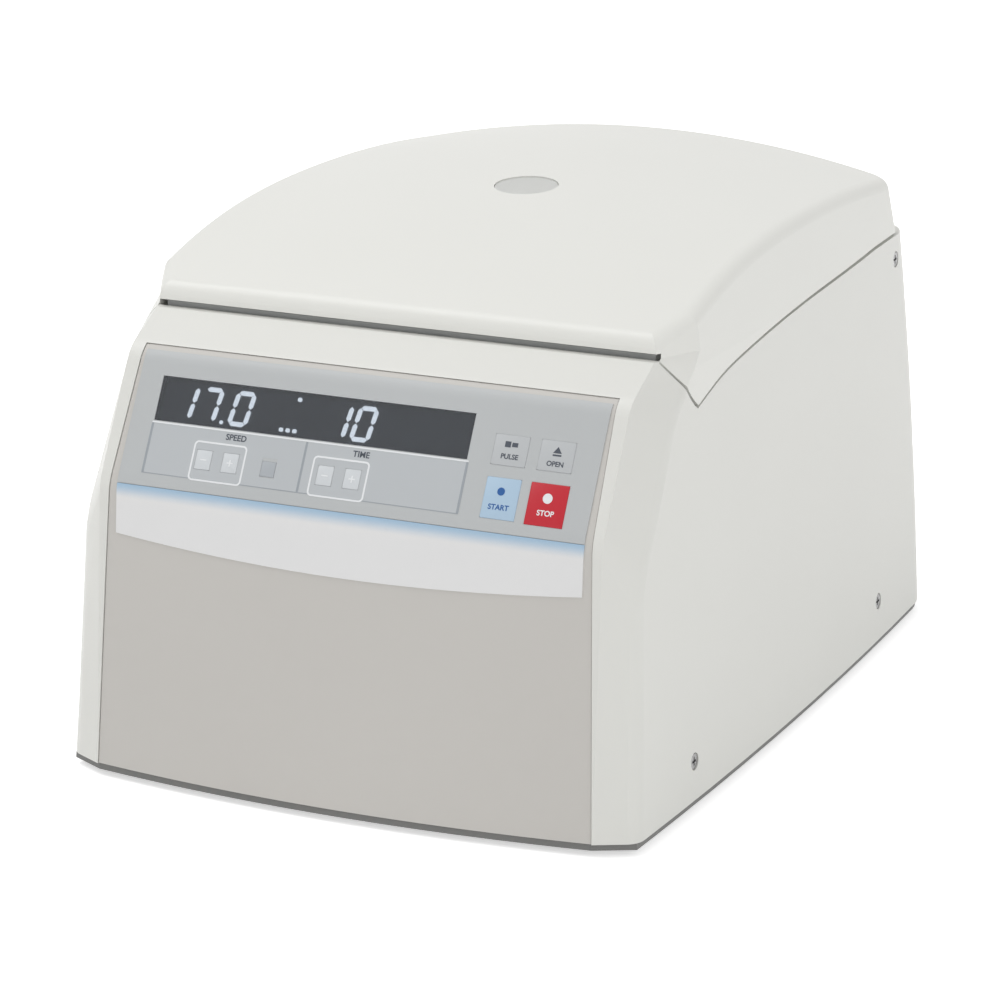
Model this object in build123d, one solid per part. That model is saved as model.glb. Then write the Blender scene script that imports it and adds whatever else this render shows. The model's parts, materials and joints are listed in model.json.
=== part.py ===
from build123d import *
import math
import os

os.makedirs("parts", exist_ok=True)

# Overall sizes. X runs across, +Y to the back, +Z up, and the floor is Z 0.
WIDTH = 243.0
DEPTH = 352.0
FOOT_HEIGHT = 2.5
PLATE = 2.5
WALL = 3.0
FIT = 0.3
SIDE = WIDTH / 2
BACK = DEPTH / 2

# Side walls: a long bow in plan and a draft that narrows the case upwards
SIDE_BOW_RADIUS = 3300.0
SIDE_BOW_Y = -18.0
SIDE_DRAFT = 2.5
CORNER_RADIUS = 25.0
BACK_BOW = 8.0
BACK_LEAN_RADIUS = 810.0

# Front: a bowed lower face, a slanted keypad face, a brow, and the lid's front
PILLAR = 18.5
PANEL_HALF = SIDE - PILLAR
FRONT_FOOT_Y = 7.8 - BACK
FRONT_BOW = 8.2
FOLD_Y = FRONT_FOOT_Y + 8.6
FOLD_Z = 115.3
BROW_Y = FOLD_Y + 25.4
BROW_Z = 161.7
LIP_Y = BROW_Y + 23.2
LIP_Z = 173.2
FOLD_RADIUS = 20.0
BROW_RADIUS = 15.0
WING_X = SIDE + 3.5
WING_RADIUS = 60.0

# Lid, and where its crease runs along each side
LID_LEAN = 8.0
LID_LEAN_Z = 168.0
LID_BACK_Y = BACK - 35.0
LID_BACK_LEAN = 8.0
LID_CORNER = 12.0
LID_BOW = 3.0
LID_EDGE = 6.0
CASE_EDGE = 8.0
CREASE_X = SIDE - 15.5
CROWN_RISE = 13.0

# Seam between the lid and the case, and the decks under the lid
FRONT_SEAM = 2.7
SIDE_SEAM = 1.2
TOOTH_Y = LIP_Y + 14.4
TOOTH_Z = 153.0
SEAM_DROP = (4.2, 10.2)
SEAM_END_Y = 100.0
SEAM_BACK_Z = 170.6
TOOTH_INSIDE = SIDE - 17.5
DECK_Z = 150.0
SHELF_Z = 170.0
HINGE_Y = LID_BACK_Y + 1.0
HINGE_Z = SHELF_Z + 0.5
TRAY_FRONT_Y = LIP_Y + 12.5
TRAY_BACK_Y = HINGE_Y - 30.0

# Side seam between the pointed skirt and its level stretch, as depth and height
SEAM_LINE = [
    (TOOTH_Y + 9.5, 155.8),
    (TOOTH_Y + 20.5, 158.8),
    (TOOTH_Y + 44.4, 162.6),
    (TOOTH_Y + 70.8, 165.3),
    (0.0, 167.2),
    (SEAM_END_Y / 2, 169.1),
    (SEAM_END_Y, SEAM_BACK_Z),
]

# Viewing window and lid liner
WINDOW_RADIUS = 12.5
RING = 3.4
LENS_FLANGE = 1.6
LINER = 2.4
LINER_Z = 171.5
DRUM_RADIUS = 97.0
DRUM_INNER = 85.0
DRUM_Z = 156.3
DOME_Z = 166.0
TUBE_RADIUS = 14.0

# Hinges at the back of the lid
HINGE_X = 60.0
BARREL = 5.0
BARREL_HALF = 10.0
HINGE_PIN = 3.0
EAR = 2.4
EAR_RADIUS = 5.6
EAR_GAP = 0.8
LEAF = 2.4
LEAF_FRONT_Y = HINGE_Y - 42.0
SPRING_SPAN = 8.0
SPRING_RADIUS = 4.2
SPRING_WIRE = 0.6
SPRING_PITCH = 1.35
SPRING_TURNS = 4
SPRING_LEG = 12.0
POCKET_WIDTH = 44.0
POCKET_BACK_Y = HINGE_Y + 7.5
POCKET_Z = 160.0
NOTCH_TOP_Z = 178.5

# Latch under the brow
STRIKER = 1.2
STRIKER_Y = LIP_Y + 5.0
STRIKER_WIDTH = 22.0
STRIKER_LOW_Z = 156.0
STRIKER_FOOT = 8.0
HOOK_WIDTH = 10.0
HOOK_Y = STRIKER_Y - 7.0
HOOK_Z = 148.0
HOOK_PIN = 1.5
HOOK_REACH = 10.8
HOOK_NOSE = 8.5
HOOK_OPEN = 20.0
CHEEK = 1.5
LATCH_HEIGHT = 26.0
LATCH_DEPTH = 8.0
LATCH_Y = HOOK_Y + 1.0
SWITCH_X = 20.0

# Side screws: depth and height of each on both sides
SIDE_SCREWS = [(66.6 - BACK, 20.0), (BACK - 80.7, 21.5), (BACK - 48.6, 160.0)]
SCREW_HEAD = 3.0
SCREW_HEAD_HEIGHT = 1.2
SCREW_SINK = 1.5
SCREW_SHANK = 1.5
SCREW_LENGTH = 7.0

# Base plate and feet
PLATE_INSET = 1.0
TAB = 1.5
FOOT_RADIUS = 10.0
FOOT_STUD = 4.0
FOOT_X = SIDE - 29.5
FOOT_Y = BACK - 46.0
VENT_ROWS = 6
VENT_PITCH = 9.0
VENT_X = FOOT_X
VENT_LENGTH = 26.0
VENT_GAP = 4.0

# Height of the lid's side crease, before rounding, at each depth
CREASE_LINE = [
    (LIP_Y - 14.0, 175.0),
    (LIP_Y + 13.0, 185.3),
    (LIP_Y + 45.0, 193.7),
    (LIP_Y + 81.0, 198.8),
    (15.0, 200.6),
    (60.0, 199.5),
    (LID_BACK_Y - 36.0, 196.0),
    (LID_BACK_Y + 9.0, 190.5),
]

# Spinning axis, rotor chamber and rotor
AXIS_Y = 2.0
BOWL_RADIUS = 90.5
BOWL_WALL = 1.5
BOWL_LIP = BOWL_RADIUS + 5.5
ROTOR_RADIUS = BOWL_RADIUS - 3.5
ROTOR_TOP_Z = DECK_Z - 7.0
ROTOR_BOTTOM_Z = ROTOR_TOP_Z - 44.0
BOWL_FLOOR_Z = ROTOR_BOTTOM_Z - 7.0
TUBE_COUNT = 18
TUBE_BORE = 5.6
TUBE_DEPTH = 38.0
TUBE_MOUTH_RADIUS = 52.0
TUBE_MOUTH_Z = 132.9
HUB_BORE = 10.0
HUB_RADIUS = 20.0
HUB_TOP_Z = 128.0
NUT_TOP_Z = 136.0
ROTOR_LID = 74.0
ROTOR_LID_Z = 151.0
KNOB_STEM = 5.0
KNOB_RADIUS = 15.0
KNOB_TOP_Z = 163.0
KNOB_GRIPS = 12

# Motor
SHAFT = 5.0
SHAFT_LOW_Z = 13.5
ARMATURE = 22.0
AIR_GAP = 0.5
STATOR_Z = 36.0
STATOR_HEIGHT = 26.0
STATOR_SLOTS = 12
MOTOR = 46.0
MOTOR_WALL = 3.0
MOTOR_TOP_Z = 76.0
NECK = 18.0
NECK_TOP_Z = 85.5
NECK_HOLE = 24.0
BEARING = 13.0
BEARING_LOW_Z = 13.5
MOUNT = 4.0
MOUNT_Z = 20.0
MOUNT_RADIUS = 70.0
DAMPER = 10.0
DAMPER_STUD = 3.0
DAMPER_PLACE = 58.0

# Back panel, mains inlet, fuse drawer, power switch
SHEET = 1.5
BACK_WIDTH = 170.0
BACK_LOW_Z = 14.0
BACK_HIGH_Z = 98.0
BACK_PLATE_Y = BACK - 15.5
GRILLE_ROWS = 4
GRILLE_COLUMNS = 3
GRILLE_PITCH = 7.0
GRILLE_BRIDGE = 8.0
GRILLE_GAP = 3.0
INLET_SIDE = 33.0
INLET_X = INLET_SIDE - BACK_WIDTH / 2
INLET_Z = 40.0
INLET_WIDTH = 28.0
INLET_HEIGHT = 34.0
INLET_DEPTH = 24.0
SOCKET_WIDTH = 24.8
SOCKET_HEIGHT = 16.8
SOCKET_DEPTH = 17.0
SOCKET_Z = 46.0
DRAWER_Z = 29.5
DRAWER_WIDTH = 22.0
DRAWER_HEIGHT = 8.0
DRAWER_DEPTH = 24.0
ROCKER_X = BACK_WIDTH / 2 - INLET_SIDE
ROCKER_WIDTH = 13.0
ROCKER_HEIGHT = 24.0
ROCKER_PROUD = 7.6
ROCKER_AXLE = 1.45
ROCKER_TILT = 8.0

# Power board
STANDOFF = 6.0
POWER_Y = BACK_PLATE_Y - 52.5
POWER_WIDTH = 168.0
POWER_DEPTH = 44.0
CHOKE_X = 66.0
CAN = 11.0
CAN_HEIGHT = 38.0
CAN_PLACES = (-62.0, -38.0)
RELAY_X = -13.0
RELAY_LENGTH = 20.0
SINK_X = 22.0
SINK_WIDTH = 44.0
SINK_FINS = 8
SINK_HEIGHT = 26.0

# Front panel, keypad foil, band, display and keys, all on the slanted face
PANEL_FOOT_HALF = PANEL_HALF + 0.2
PANEL_TOP_HALF = PANEL_HALF - 5.5
PANEL_TOP_Z = 163.0
PANEL_REAR_Y = BROW_Y + 8.2
FOIL = 0.4
FOIL_HALF = PANEL_TOP_HALF - 1.7
BAND_END_Z = 96.3
BAND_LOW_Z = 91.3
DISPLAY_LEFT = 9.8 - FOIL_HALF
DISPLAY_RIGHT = FOIL_HALF - 51.8
DISPLAY_WIDTH = DISPLAY_RIGHT - DISPLAY_LEFT
DISPLAY_X = (DISPLAY_LEFT + DISPLAY_RIGHT) / 2
DISPLAY_Y = 34.5
DISPLAY_HEIGHT = 17.4
LENS = 2.4
DIGIT_WIDTH = 6.6
DIGIT_HEIGHT = 12.0
DIGIT_PITCH = 11.0
DIGIT_LEAN = 8.0
BAR = 1.6
DIGITS = [("170", DISPLAY_LEFT + 14.0), ("10", DISPLAY_LEFT + 78.5)]
POINT_X = DISPLAY_LEFT + 30.4
KEY_GAP = 0.25
KEY_PROUD = 0.5
KEY_FOOT = -7.2
KEY_TRAVEL = 0.5
BOARD = 1.6
BOARD_FACE = -11.0
BOARD_MID = 26.5
BOARD_WIDTH = 2 * PANEL_TOP_HALF - 7.0
BOARD_HEIGHT = 47.0
BOARD_CHIP_X = 40.0
BOARD_POST_X = BOARD_WIDTH / 2 - 3.0
BOARD_POST_HEIGHTS = (8.0, 45.0)

# Each key: centre across, centre up the slope, width and height
KEYS = {
    "key_speed_down": (DISPLAY_LEFT + 24.2, 13.0, 6.0, 7.0),
    "key_speed_up": (DISPLAY_LEFT + 35.4, 13.0, 6.0, 7.0),
    "key_unit": (DISPLAY_LEFT + 51.5, 12.6, 5.4, 5.4),
    "key_time_down": (DISPLAY_LEFT + 75.0, 13.0, 6.0, 7.0),
    "key_time_up": (DISPLAY_LEFT + 86.2, 13.0, 6.0, 7.0),
    "key_pulse": (DISPLAY_RIGHT + 16.3, 31.0, 13.2, 11.0),
    "key_open": (DISPLAY_RIGHT + 34.6, 31.0, 13.2, 11.0),
    "key_start": (DISPLAY_RIGHT + 16.3, 13.0, 13.2, 15.0),
    "key_stop": (DISPLAY_RIGHT + 34.6, 12.8, 14.7, 15.4),
}

FAR = 260.0
SHELL_Z = FOOT_HEIGHT + PLATE


def save(name, *solids):
    """Write one named node, which may hold several like solids."""
    shape = solids[0] if len(solids) == 1 else Compound(children=list(solids))
    export_step(shape, f"parts/{name}.step")


# Outer form of the case


def side_x(y, z, inset=0.0):
    """Half width of the case at a depth y and a height z."""
    bow = (y - SIDE_BOW_Y) ** 2 / (2 * SIDE_BOW_RADIUS)
    return WIDTH / 2 - inset - z * math.tan(math.radians(SIDE_DRAFT)) - bow


def plan_face(z, half, back_y, back_bow, corner):
    """Closed plan outline: bowed sides, a bowed back, round back corners."""
    front_y = -FAR

    def edge_x(y):
        return half - (y - SIDE_BOW_Y) ** 2 / (2 * SIDE_BOW_RADIUS)

    corner_y = back_y - back_bow
    right = ThreePointArc(
        (edge_x(front_y), front_y), (half, SIDE_BOW_Y), (edge_x(corner_y), corner_y)
    )
    back = ThreePointArc(
        (edge_x(corner_y), corner_y), (0, back_y), (-edge_x(corner_y), corner_y)
    )
    left = ThreePointArc(
        (-edge_x(corner_y), corner_y), (-half, SIDE_BOW_Y), (-edge_x(front_y), front_y)
    )
    front = Line((-edge_x(front_y), front_y), (edge_x(front_y), front_y))
    face = make_face([right, back, left, front])
    face = fillet(face.vertices().sort_by(Axis.Y)[-2:], corner)
    return Pos(0, 0, z) * face


def back_y_at(z):
    """Back of the case on the centre line: upright at the base, leaning in above."""
    return DEPTH / 2 - (z - SHELL_Z) ** 2 / (2 * BACK_LEAN_RADIUS)


def case_block(inset=0.0):
    """Sides, back and back corners of the case, far longer than it at the front."""
    levels = [-10.0, 50.0, 110.0, 170.0, 230.0]
    faces = []
    for z in levels:
        half = side_x(SIDE_BOW_Y, z, inset)
        faces.append(plan_face(z, half, back_y_at(z) - inset, BACK_BOW, CORNER_RADIUS - inset))
    return loft(faces)


def lid_block(inset=0.0):
    """Sides, back and back corners of the lid, leaning inwards."""
    faces = []
    for z in (LID_LEAN_Z - 40, LID_LEAN_Z + 60):
        rise = z - LID_LEAN_Z
        half = side_x(SIDE_BOW_Y, LID_LEAN_Z, inset) - rise * math.tan(math.radians(LID_LEAN))
        back = LID_BACK_Y - inset - rise * math.tan(math.radians(LID_BACK_LEAN))
        faces.append(plan_face(z, half, back, LID_BOW, LID_CORNER - inset))
    return loft(faces, ruled=True)


def front_face(x, points, radii, inset=0.0):
    """Side-view face of everything behind the front outline, at one x."""
    outline = points + [(FAR, points[-1][1]), (FAR, points[0][1])]
    face = make_face(Polyline(*outline, close=True))
    if inset:
        face = offset(face, amount=-inset, kind=Kind.INTERSECTION)
    for index, radius in radii:
        y, z = points[index]
        near = sorted(face.vertices(), key=lambda v: (v.X - y) ** 2 + (v.Y - z) ** 2)[0]
        face = fillet(near, radius - inset)
    return Plane.YZ.offset(x) * face


def centre_points(x):
    """Front outline at x: foot, fold, brow, lid lip and lid front."""
    bow = FRONT_BOW * (1 - (x / PANEL_HALF) ** 2)
    bottom = -10.0
    slope = (FOLD_Y - FRONT_FOOT_Y + bow) / FOLD_Z
    foot = FRONT_FOOT_Y - bow + bottom * slope
    return [(foot, bottom), (FOLD_Y, FOLD_Z), (BROW_Y, BROW_Z), (LIP_Y, LIP_Z), (LIP_Y + 1.5, 225.0)]


# Wing outline at WING_X, beyond the sides: it makes the bevel between the front and the sides.
# Each point is (y, z, how far the inner wall stands back for each mm of wall).
WING_OUTLINE = [
    (FRONT_FOOT_Y + 9.7, -10.0, 1.1),
    (FOLD_Y + 14.6, 82.0, 1.3),
    (BROW_Y + 37.2, 148.0, 2.3),
    (LIP_Y + 43.0, LIP_Z, 2.4),
    (LIP_Y + 85.0, 225.0, 2.4),
]


def wing_points(inset=0.0):
    return [(y + inset * spread, z) for y, z, spread in WING_OUTLINE]


def front_block(inset=0.0):
    """Everything behind the front: bowed centre between two bevelled wings."""
    half = PANEL_HALF - 0.5 * inset
    radii = ((1, FOLD_RADIUS), (2, BROW_RADIUS))
    centre = [front_face(x, centre_points(x), radii, inset) for x in (-half, -half / 2, 0, half / 2, half)]
    block = loft(centre)
    wing_radii = ((1, WING_RADIUS + inset), (2, WING_RADIUS + inset))
    for side in (-1, 1):
        inner = front_face(side * half, centre_points(half), radii, inset)
        tip = front_face(side * WING_X, wing_points(inset), wing_radii)
        if inset:
            low, high = -10.0 + inset, 225.0 - inset
            room = Pos(0, (low + high) / 2) * Rectangle(2 * FAR - 2 * inset, high - low)
            tip = tip & (Plane.YZ.offset(side * WING_X) * room)
        block += loft([inner, tip], ruled=True)
    return block


def crown_block(inset=0.0):
    """Everything under the crowned top of the lid, as cross sections along the depth."""
    faces = []
    for y, crease_z in CREASE_LINE:
        rise = max(0.3, CROWN_RISE * (y - LIP_Y) / (LID_BACK_Y - LIP_Y - 7.0))
        top = crease_z + rise - inset
        wide = WING_X + 5
        edge = top - rise * (wide / CREASE_X) ** 2
        arch = ThreePointArc((wide, edge), (0, top), (-wide, edge))
        walls = Polyline((-wide, edge), (-wide, DECK_Z - 20), (wide, DECK_Z - 20), (wide, edge))
        faces.append(Plane.XZ.offset(-y) * make_face([arch, *walls.edges()]))
    return loft(faces)


def seam_face(dy, dz):
    """Side-view face of everything under the seam, moved by dy and dz."""
    start = (TOOTH_Y + dy, TOOTH_Z + dz)
    lip = (LIP_Y + dy, LIP_Z - 0.4 + dz)
    drop_y, drop_z = SEAM_DROP
    drop = ThreePointArc(lip, (LIP_Y + drop_y + dy, LIP_Z - drop_z + dz), start)
    rise = Spline(start, *[(y + dy, z + dz) for y, z in SEAM_LINE])
    end = (SEAM_END_Y + dy, SEAM_BACK_Z + dz)
    back = Polyline(end, (FAR, end[1]), (FAR, -20), (-FAR, -20), (-FAR, lip[1]), lip)
    return Plane.YZ * make_face([drop, rise, *back.edges()])


def crease_edges(solid):
    """Edges where the bevelled wings meet the side walls."""
    found = []
    for edge in solid.edges():
        a, b = edge @ 0, edge @ 1
        if min(abs(a.X), abs(b.X)) > CREASE_X + 5 and max(a.Y, b.Y) < -20 and abs(a.Z - b.Z) > 5:
            found.append(edge)
    return found


def slab(low_y, high_y, low_z, high_z, half_x=FAR):
    """Box across the whole width, or as far as half_x on each side."""
    size = (2 * half_x, high_y - low_y, high_z - low_z)
    return Pos(0, (low_y + high_y) / 2, (low_z + high_z) / 2) * Box(*size)


def block_at(x, y, z, size_x, size_y, size_z):
    """Box by its centre in X and Y and its lowest Z."""
    return Pos(x, y, z + size_z / 2) * Box(size_x, size_y, size_z)


def rod(x, y, z, radius, height):
    """Upright cylinder from z upwards."""
    return Pos(x, y, z + height / 2) * Cylinder(radius, height)


def rod_x(x0, x1, y, z, radius):
    """Cylinder along X from x0 to x1."""
    return Pos((x0 + x1) / 2, y, z) * Rot(0, 90, 0) * Cylinder(radius, abs(x1 - x0))


def turned(points, x=0.0, y=AXIS_Y):
    """Solid of revolution about an upright axis from (radius, z) points."""
    face = Plane.XZ * make_face(Polyline(*points, close=True))
    return Pos(x, y, 0) * revolve(face, Axis.Z)


def ring(inner, outer, low, high):
    return turned([(inner, low), (outer, low), (outer, high), (inner, high)])


def rim_edges(solid):
    """Edges around the crowned top of the lid."""
    found = []
    for edge in solid.edges():
        c = edge.center()
        rise = abs((edge @ 0).Z - (edge @ 1).Z)
        upright = rise > abs((edge @ 0).Y - (edge @ 1).Y) and abs(c.X) > CREASE_X - 16
        on_side = abs(c.X) > CREASE_X - 2 and c.Z > LIP_Z + 10.3
        on_middle = abs(c.X) < 1 and c.Z > LIP_Z + 5.8
        if (on_side and not upright) or on_middle:
            found.append(edge)
    return found


def window_top_z():
    """Height of the lid's outer surface on the spinning axis."""
    probe = crown_block() & rod(0, AXIS_Y, DECK_Z, 0.5, 100)
    return probe.bounding_box().max.Z


# Slanted keypad face, with x across, y up the slope and z outwards

slope_y = BROW_Y - FOLD_Y
slope_z = BROW_Z - FOLD_Z
slope_length = math.hypot(slope_y, slope_z)
KEYPAD = Plane(origin=(0, FOLD_Y, FOLD_Z), x_dir=(1, 0, 0), z_dir=(0, -slope_z, slope_y))


def on_keypad(x, y, low, high, size_x, size_y):
    """Box on the keypad face, from low to high along its outward normal."""
    return KEYPAD * Pos(x, y, (low + high) / 2) * Box(size_x, size_y, high - low)


def panel_zone(top_z, gap):
    """Region of the front panel between the pillars, seen from the front."""
    low_half = PANEL_FOOT_HALF - gap
    high_half = PANEL_TOP_HALF - gap
    points = [(-low_half, SHELL_Z - 10), (low_half, SHELL_Z - 10), (high_half, top_z), (-high_half, top_z)]
    face = Plane.XZ * make_face(Polyline(*points, close=True))
    return extrude(face, amount=FAR) & slab(-FAR, PANEL_REAR_Y, -20, FAR)


# Casing: one hollow moulding with a deck, a brow shelf, a tray and a hinge ledge

case_form = front_block() & case_block()
case_form = fillet(crease_edges(case_form), CASE_EDGE)
case_inner = front_block(WALL) & case_block(WALL)

side_seam = extrude(seam_face(-SIDE_SEAM / 4, -SIDE_SEAM / 2), amount=FAR, both=True)
side_seam -= slab(-FAR, FAR, -50, 300, TOOTH_INSIDE)
lip_back = LIP_Y + 1.5
middle_top = slab(-FAR, lip_back, -20, LIP_Z - FRONT_SEAM / 3, TOOTH_INSIDE)
middle_top += slab(lip_back, FAR, -20, SHELF_Z, TOOTH_INSIDE)
housing = case_form & (side_seam + middle_top)
housing &= slab(-FAR, FAR, SHELL_Z, FAR)

cavity = slab(-FAR, FAR, -20, DECK_Z - WALL)
cavity += slab(-FAR, TRAY_FRONT_Y - WALL, -20, SHELF_Z - WALL, TOOTH_INSIDE - WALL)
cavity += slab(-FAR, LIP_Y - WALL, -20, SHELF_Z - WALL)
cavity += slab(TRAY_BACK_Y + WALL, FAR, -20, SHELF_Z - WALL)
housing -= case_inner & cavity
housing -= case_block(WALL) & slab(TRAY_FRONT_Y, TRAY_BACK_Y, DECK_Z, FAR)

# Hole for the chamber, and the slot that the lid's striker drops through
housing -= rod(0, AXIS_Y, DECK_Z - 2 * WALL, BOWL_RADIUS + BOWL_WALL + 0.5, 4 * WALL)
housing -= block_at(0, STRIKER_Y, SHELF_Z - 2 * WALL, STRIKER_WIDTH + 4, STRIKER + 4.5, 4 * WALL)

# Two pockets in the ledge for the hinges
pocket_front_y = TRAY_BACK_Y + WALL
pocket_y = (pocket_front_y + POCKET_BACK_Y) / 2
pocket_length = POCKET_BACK_Y - pocket_front_y
for side in (-1, 1):
    outer = (POCKET_WIDTH + 2 * WALL, pocket_length + 2 * WALL, SHELF_Z - POCKET_Z)
    housing += block_at(side * HINGE_X, pocket_y, POCKET_Z - WALL, *outer) & case_form
    housing -= block_at(side * HINGE_X, pocket_y, POCKET_Z, POCKET_WIDTH, pocket_length, 40)

# Opening between the pillars for the front panel
housing -= panel_zone(PANEL_TOP_Z, 0)

# Framed opening for the back panel
back_mid_z = (BACK_LOW_Z + BACK_HIGH_Z) / 2
back_height = BACK_HIGH_Z - BACK_LOW_Z
collar = Pos(0, BACK_PLATE_Y + 20, back_mid_z) * Box(BACK_WIDTH + 2 * WALL, 40, back_height + 2 * WALL)
housing += collar & case_form
housing -= Pos(0, BACK_PLATE_Y + 20, back_mid_z) * Box(BACK_WIDTH, 60, back_height)

# Recessed holes for the side screws
for side in (-1, 1):
    for y, z in SIDE_SCREWS:
        face_x = side_x(y, z)
        housing -= rod_x(side * (face_x - SCREW_SINK), side * (face_x + 5), y, z, SCREW_HEAD + 0.4)
        housing -= rod_x(side * (face_x - 8), side * (face_x + 5), y, z, SCREW_SHANK + 0.2)
save("housing_shell", housing)

screws = []
for side in (-1, 1):
    for y, z in SIDE_SCREWS:
        seat = side_x(y, z) - SCREW_SINK
        head = rod_x(side * seat, side * (seat + SCREW_HEAD_HEIGHT), y, z, SCREW_HEAD)
        shank = rod_x(side * seat, side * (seat - SCREW_LENGTH), y, z, SCREW_SHANK)
        screw = head + shank
        slot_x = side * (seat + SCREW_HEAD_HEIGHT)
        for turn in (0, 90):
            screw -= Pos(slot_x, y, z) * Rot(turn, 0, 0) * Box(1.6, 3.6, 0.9)
        screws.append(screw)
save("housing_screws", *screws)

# Base plate with upturned tabs for the side screws, vents and four feet
plate_form = front_block(PLATE_INSET) & case_block(PLATE_INSET)
base = plate_form & slab(-FAR, FAR, FOOT_HEIGHT, SHELL_Z)
for side in (-1, 1):
    for y, z in SIDE_SCREWS[:2]:
        inner_x = side_x(y, z) - WALL - FIT - 0.4
        tab = block_at(side * (inner_x - TAB / 2), y, SHELL_Z, TAB, 18, z - SHELL_Z + 8)
        base += tab - rod_x(side * (inner_x - 8), side * (inner_x + 2), y, z, SCREW_SHANK)
for row in range(VENT_ROWS):
    y = AXIS_Y + (row - (VENT_ROWS - 1) / 2) * VENT_PITCH
    for x in (-VENT_X, VENT_X):
        base -= block_at(x, y, 0, VENT_LENGTH, VENT_GAP, 10)
feet = []
for x in (-FOOT_X, FOOT_X):
    for y in (-FOOT_Y, FOOT_Y):
        base -= rod(x, y, 0, FOOT_STUD + 0.1, 10)
        foot = rod(x, y, 0, FOOT_RADIUS, FOOT_HEIGHT)
        foot = chamfer(foot.edges().sort_by(Axis.Z)[0], 0.8)
        foot += rod(x, y, FOOT_HEIGHT, FOOT_STUD, PLATE)
        foot += rod(x, y, SHELL_Z, FOOT_STUD + 1.2, 1.6)
        feet.append(foot)
save("rubber_feet", *feet)

# Front panel: a grey moulding behind the keypad foil and the band, with posts for the board
panel_form = front_block(FOIL) & case_block(FOIL)
panel = (panel_form - front_block(WALL)) & panel_zone(PANEL_TOP_Z - FIT, FIT)
panel &= slab(-FAR, FAR, SHELL_Z + FIT / 2, FAR)
overlay_zone = KEYPAD * Pos(0, slope_length / 2) * Box(2 * FOIL_HALF, slope_length, 20)
overlay = (front_block() - front_block(FOIL)) & overlay_zone & panel_zone(PANEL_TOP_Z - FIT, FIT)
overlay &= slab(-FAR, FAR, FOLD_Z + FIT, FAR)

band_left, band_right = (-FOIL_HALF, BAND_END_Z), (FOIL_HALF, BAND_END_Z)
band_arc = ThreePointArc(band_left, (0, BAND_LOW_Z), band_right)
band_sides = Polyline(band_left, (-FOIL_HALF, FOLD_Z), (FOIL_HALF, FOLD_Z), band_right)
band_zone = extrude(Plane.XZ * make_face([band_arc, *band_sides.edges()]), amount=FAR)
band = (front_block() - front_block(FOIL)) & band_zone
save("name_band", band)

for x in (-BOARD_POST_X, BOARD_POST_X):
    for y in BOARD_POST_HEIGHTS:
        panel += on_keypad(x, y, BOARD_FACE, -WALL + 0.2, 5, 5)

# Display window in the panel, with the display module behind it
window_gap = 0.2
opening = on_keypad(DISPLAY_X, DISPLAY_Y, -20, 5, DISPLAY_WIDTH, DISPLAY_HEIGHT)
panel -= opening
overlay -= opening
lens_size = (DISPLAY_WIDTH - 2 * window_gap, DISPLAY_HEIGHT - 2 * window_gap)
save("display_window", on_keypad(DISPLAY_X, DISPLAY_Y, -LENS, 0, *lens_size))
module_top = -LENS - 1.0
module_size = (DISPLAY_WIDTH - 2.0, DISPLAY_HEIGHT - 1.0)
save("display_module", on_keypad(DISPLAY_X, DISPLAY_Y, BOARD_FACE, module_top, *module_size))

# Seven-bar digits: top, middle and bottom bars, then the left and right uprights
BARS = {"0": "TBLMRN", "1": "RN", "7": "TRN"}


def digit_bars(char, x, y):
    """Lit bars of one digit standing on the display module."""
    half_x, half_y = DIGIT_WIDTH / 2, DIGIT_HEIGHT / 2
    places = {
        "T": (0, half_y, True), "B": (0, -half_y, True),
        "L": (-half_x, half_y / 2, False), "M": (-half_x, -half_y / 2, False),
        "R": (half_x, half_y / 2, False), "N": (half_x, -half_y / 2, False),
    }
    bars = []
    for code in BARS[char]:
        dx, dy, flat = places[code]
        size = (DIGIT_WIDTH - 1.8, BAR) if flat else (BAR, half_y - 1.2)
        lean = dy * math.tan(math.radians(DIGIT_LEAN))
        bars.append(on_keypad(x + dx + lean, y + dy, module_top, module_top + 0.3, *size))
    return bars


lit = []
for text, left_x in DIGITS:
    for place, char in enumerate(text):
        lit += digit_bars(char, left_x + place * DIGIT_PITCH, DISPLAY_Y)
lit.append(on_keypad(POINT_X, DISPLAY_Y - DIGIT_HEIGHT / 2, module_top, module_top + 0.3, BAR, BAR))
save("display_digits", *lit)

# Keys: each cap has a flange behind the panel and stands over its own switch
switches = []
for name, (x, y, size_x, size_y) in KEYS.items():
    hole = on_keypad(x, y, -20, 5, size_x + 2 * KEY_GAP, size_y + 2 * KEY_GAP)
    panel -= hole
    overlay -= hole
    cap = on_keypad(x, y, KEY_FOOT, KEY_PROUD, size_x, size_y)
    cap += on_keypad(x, y, -WALL - 1.5, -WALL - 0.1, size_x + 1.6, size_y + 1.6)
    save(name, cap)
    switch = on_keypad(x, y, BOARD_FACE, BOARD_FACE + 2.2, 6, 6)
    switch += on_keypad(x, y, BOARD_FACE + 2.2, KEY_FOOT - KEY_TRAVEL - 0.15, 3, 3)
    switches.append(switch)
save("key_switches", *switches)
panel -= band
save("front_panel", panel)
save("keypad_overlay", overlay)

board = on_keypad(0, BOARD_MID, BOARD_FACE - BOARD, BOARD_FACE, BOARD_WIDTH, BOARD_HEIGHT)
board += on_keypad(BOARD_CHIP_X, BOARD_MID, BOARD_FACE - BOARD - 3, BOARD_FACE - BOARD, 16, 16)
board += on_keypad(-BOARD_CHIP_X, BOARD_MID - 8, BOARD_FACE - BOARD - 8, BOARD_FACE - BOARD, 30, 8)
save("control_board", board)

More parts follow.
